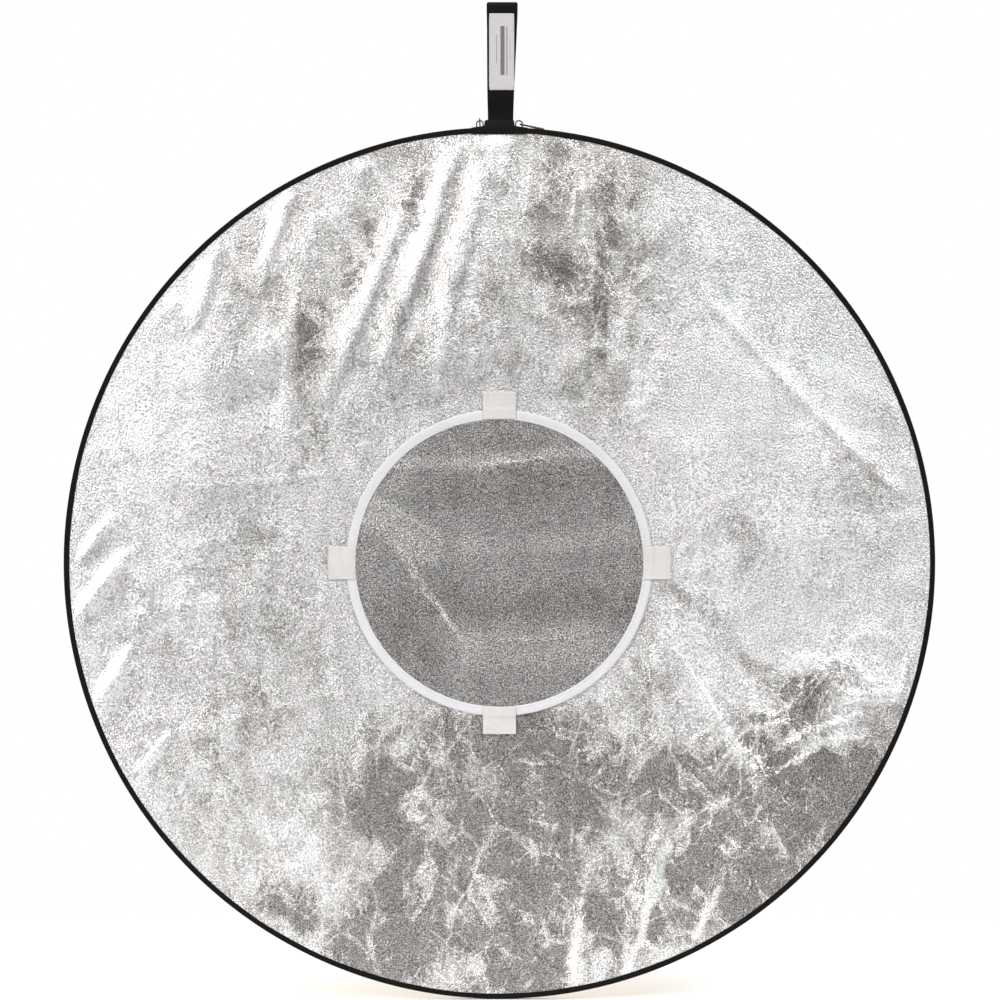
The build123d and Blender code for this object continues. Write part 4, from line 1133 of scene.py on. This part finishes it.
def make_materials():
    dark = {"sheen": 0.03, "Specular_IOR_Level": 0.08}
    off_black = (0.018, 0.018, 0.019)
    return {
        "silver": metal_cloth(
            "silver_cloth", (0.86, 0.85, 0.845), 0.34, 2.1 * MM, ((1.0, 0.955, 0.965), (0.95, 1.0, 0.985))
        ),
        "gold": metal_cloth(
            "gold_cloth", (0.86, 0.62, 0.30), 0.36, 2.1 * MM, ((1.0, 0.97, 0.93), (0.98, 1.0, 0.9)), 0.8
        ),
        "insert_silver": metal_cloth(
            "insert_silver_cloth", (0.40, 0.386, 0.381), 0.36, 1.8 * MM,
            ((1.0, 0.985, 0.98), (0.985, 1.0, 0.99)), 1.7, 0.3,
        ),
        "binding": woven(
            "rim_binding_tape", (0.0050, 0.0045, 0.0042), (0.9, 0.45), rough=0.62, depth=0.12, **dark
        ),
        "thread": fibrous("black_thread", (0.014, 0.013, 0.012), 2200.0, 0.05, **dark),
        "pale_thread": fibrous("pale_thread", (0.58, 0.57, 0.57), 2200.0, 0.05),
        "coil": hard_metal("nylon_coil", (0.012, 0.011, 0.011), (0.06,) * 3, 0.6, 0.42, 0.0, coat=0.15),
        "enamel": hard_metal(
            "zip_enamel", (0.014, 0.0135, 0.0135), (0.09, 0.088, 0.086), 0.5, 0.4, 0.2, coat=0.08
        ),
        "steel": hard_metal("spring_steel", (0.42, 0.43, 0.45), (0.6,) * 3, 0.5, 0.32, 1.0, brushed=True),
        "webbing": woven(
            "black_webbing", (0.0065, 0.0055, 0.0048), (1.5, 0.8), rough=0.72, depth=0.25, **dark
        ),
        "patch": woven("base_cloth", (0.0075, 0.0065, 0.0058), (0.8, 0.8), rough=0.75, depth=0.15, **dark),
        "ring": woven(
            "insert_edge_tape", (0.61, 0.60, 0.62), (0.6, 0.6), depth=0.05, sheen=0.2, mottling=0.03
        ),
        "tab": woven(
            "tab_webbing", (0.63, 0.60, 0.575), (1.3, 0.5), rough=0.85, depth=0.14, sheen=0.3, mottling=0.04
        ),
        "hooks": fibrous("hook_tape", (0.70, 0.68, 0.64), 900.0, 0.08, rough=0.6),
        "loops": fibrous("loop_tape", (0.72, 0.71, 0.68), 1500.0, 0.3),
        "dark_loops": fibrous("dark_loop_tape", (0.02, 0.02, 0.02), 1500.0, 0.3, **dark),
        "diffuser": woven("diffuser_cloth", (0.86, 0.86, 0.85), (0.5, 0.5), "face", 0.7, 0.05, mottling=0.03),
        "white": woven(
            "white_lining_cloth", (0.80, 0.80, 0.79), (0.7, 0.7), "face", 0.75, 0.06, mottling=0.04
        ),
        "dark": woven("black_lining_cloth", off_black, (0.7, 0.7), "face", 0.7, 0.08, **dark),
        "lining": woven("insert_lining_cloth", off_black, (0.6, 0.6), "face", 0.7, 0.08, **dark),
        "hem": woven("hem_tape", (0.74, 0.74, 0.72), (0.9, 0.6), "disc"),
        "port_tape": woven("port_edge_tape", (0.014, 0.013, 0.012), (0.9, 0.5), "disc", 0.7, 0.12, **dark),
        "zip_tape": woven("zip_tape", (0.014, 0.013, 0.013), (0.8, 0.5), "disc", 0.75, 0.12, **dark),
        "label": label_cloth(),
    }


# The CAD nodes that are seen as they are, by material.
DRESSED = {
    "steel": ("spring_hoop", "hoop_sleeve", "insert_hoop", "insert_hoop_sleeve"),
    "hem": ("diffuser_hem",),
    "diffuser": ("diffuser_panel",),
    "white": ("white_lining",),
    "dark": ("black_lining",),
    "port_tape": ("diffuser_port_tape", "front_port_tape", "back_port_tape"),
    "zip_tape": ("front_zip_tape", "back_zip_tape"),
    "enamel": ("zip_end_stops",),
}


def dress(nodes, material, bevel=0.0):
    """Gives CAD nodes their material, and softens their edges by a bevel in mm."""
    for name in nodes:
        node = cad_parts[name]
        node.data.materials.clear()
        node.data.materials.append(material)
        if bevel:
            soften = node.modifiers.new("soft_edges", "BEVEL")
            soften.width = bevel * MM
            soften.segments = 2
            soften.limit_method = "ANGLE"
            soften.angle_limit = math.radians(40)


def dress_frame(cloths):
    for material, nodes in DRESSED.items():
        dress(nodes, cloths[material])
    for side in ("left", "right"):
        dress((f"zip_slider_{side}", f"zip_crown_{side}", f"zip_pull_{side}"), cloths["enamel"], bevel=0.22)


def build_cover(cloths):
    # Where the cloth is most crumpled: x and z in parts of the rim's radius, how far it reaches and how much.
    crumples = (
        (.62, -.44, .16, .9), (.50, -.55, .14, .8), (.76, -.30, .10, .8), (.07, -.52, .10, .5),
        (.19, .62, .08, .25), (.55, -.75, .15, .5), (.10, -.78, .2, .4), (-.28, -.62, .14, .3),
        (-.85, -.1, .1, .4),
    )
    silver = cover_face("cover_silver", -1, SILVER_FOLDS, cloths["silver"], 1.7, crumples, PAINTED_SHADING_STROKES)
    gold = cover_face("cover_gold", 1, radial_folds(15, 5), cloths["gold"], 57.3, crumples[:3], ())
    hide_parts("silver_panel")
    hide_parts("gold_panel")
    for face, side, name, loops in ((silver, -1, "front", "loops"), (gold, 1, "back", "dark_loops")):
        binding = rim_binding(f"rim_tape_{name}", side, cloths["binding"])
        seam = ring_stitches(f"rim_seam_{name}", 515.7, 6.98, side, cloths["thread"], "rim_binding")
        coil = zip_coil(f"coil_{name}", side, cloths["coil"])
        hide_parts(f"{name}_rim_binding")
        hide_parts(f"{name}_zip_coil")
        patches = [loop_patch(name, *place, side, cloths[loops]) for place in STATIONS.items()]
        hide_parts(f"{name}_loop_patches")
        for piece in (face, binding, seam, coil, *patches):
            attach(piece, "reflector")


def build_insert(cloths):
    front = insert_face(
        "insert_cloth_silver", -8.75 * MM, -1, INSERT_FOLDS, cloths["insert_silver"], 71.0,
        INSERT_PAINTED_SHADING,
    )
    back = insert_face("insert_cloth_reverse", -8.45 * MM, 1, (), cloths["lining"], 83.0)
    edge = insert_ring(cloths["ring"])
    seam = ring_stitches(
        "insert_seam", 174.6, 9.66, -1, cloths["pale_thread"], "insert_edge_tape",
        pitch=3.0, length=2.2, thickness=0.22,
    )
    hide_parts("insert_silver")
    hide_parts("insert_reverse")
    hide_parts("insert_ring")
    for piece in (front, back, edge, seam):
        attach(piece, "insert")
    for side, station in STATIONS.items():
        webbing = tab(side, station, cloths["tab"])
        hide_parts(f"tab_{side}", *(["insert_tab_roots"] if side == "top" else []))
        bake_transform(webbing)
        backing, hooks = hook_patch(side, station, cloths["hooks"])
        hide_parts(f"hook_patch_{side}")
        root_seam = tab_seam(f"tab_root_seam_{side}", 174.2, 10.72, station, cloths["pale_thread"])
        end_seam = tab_seam(f"tab_end_seam_{side}", 201.6, 10.05, station, cloths["pale_thread"])
        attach(root_seam, "insert")
        for piece in (backing, hooks, end_seam):
            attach(piece, f"tab_{side}")


def build_handle(cloths):
    webbing = strap(cloths["webbing"])
    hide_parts("handle_strap", "handle_strap_tail")
    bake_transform(webbing)
    patch, seam = label(cloths["label"], cloths["pale_thread"])
    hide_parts("handle_label")
    for piece in (patch, seam, *strap_stitches(cloths["thread"])):
        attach(piece, "handle")
    base, seams = handle_base(cloths["patch"], cloths["thread"])
    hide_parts("handle_base")
    for piece in (base, *seams):
        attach(piece, "reflector")


studio()
floor()
materials = make_materials()
dress_frame(materials)
build_cover(materials)
build_insert(materials)
build_handle(materials)
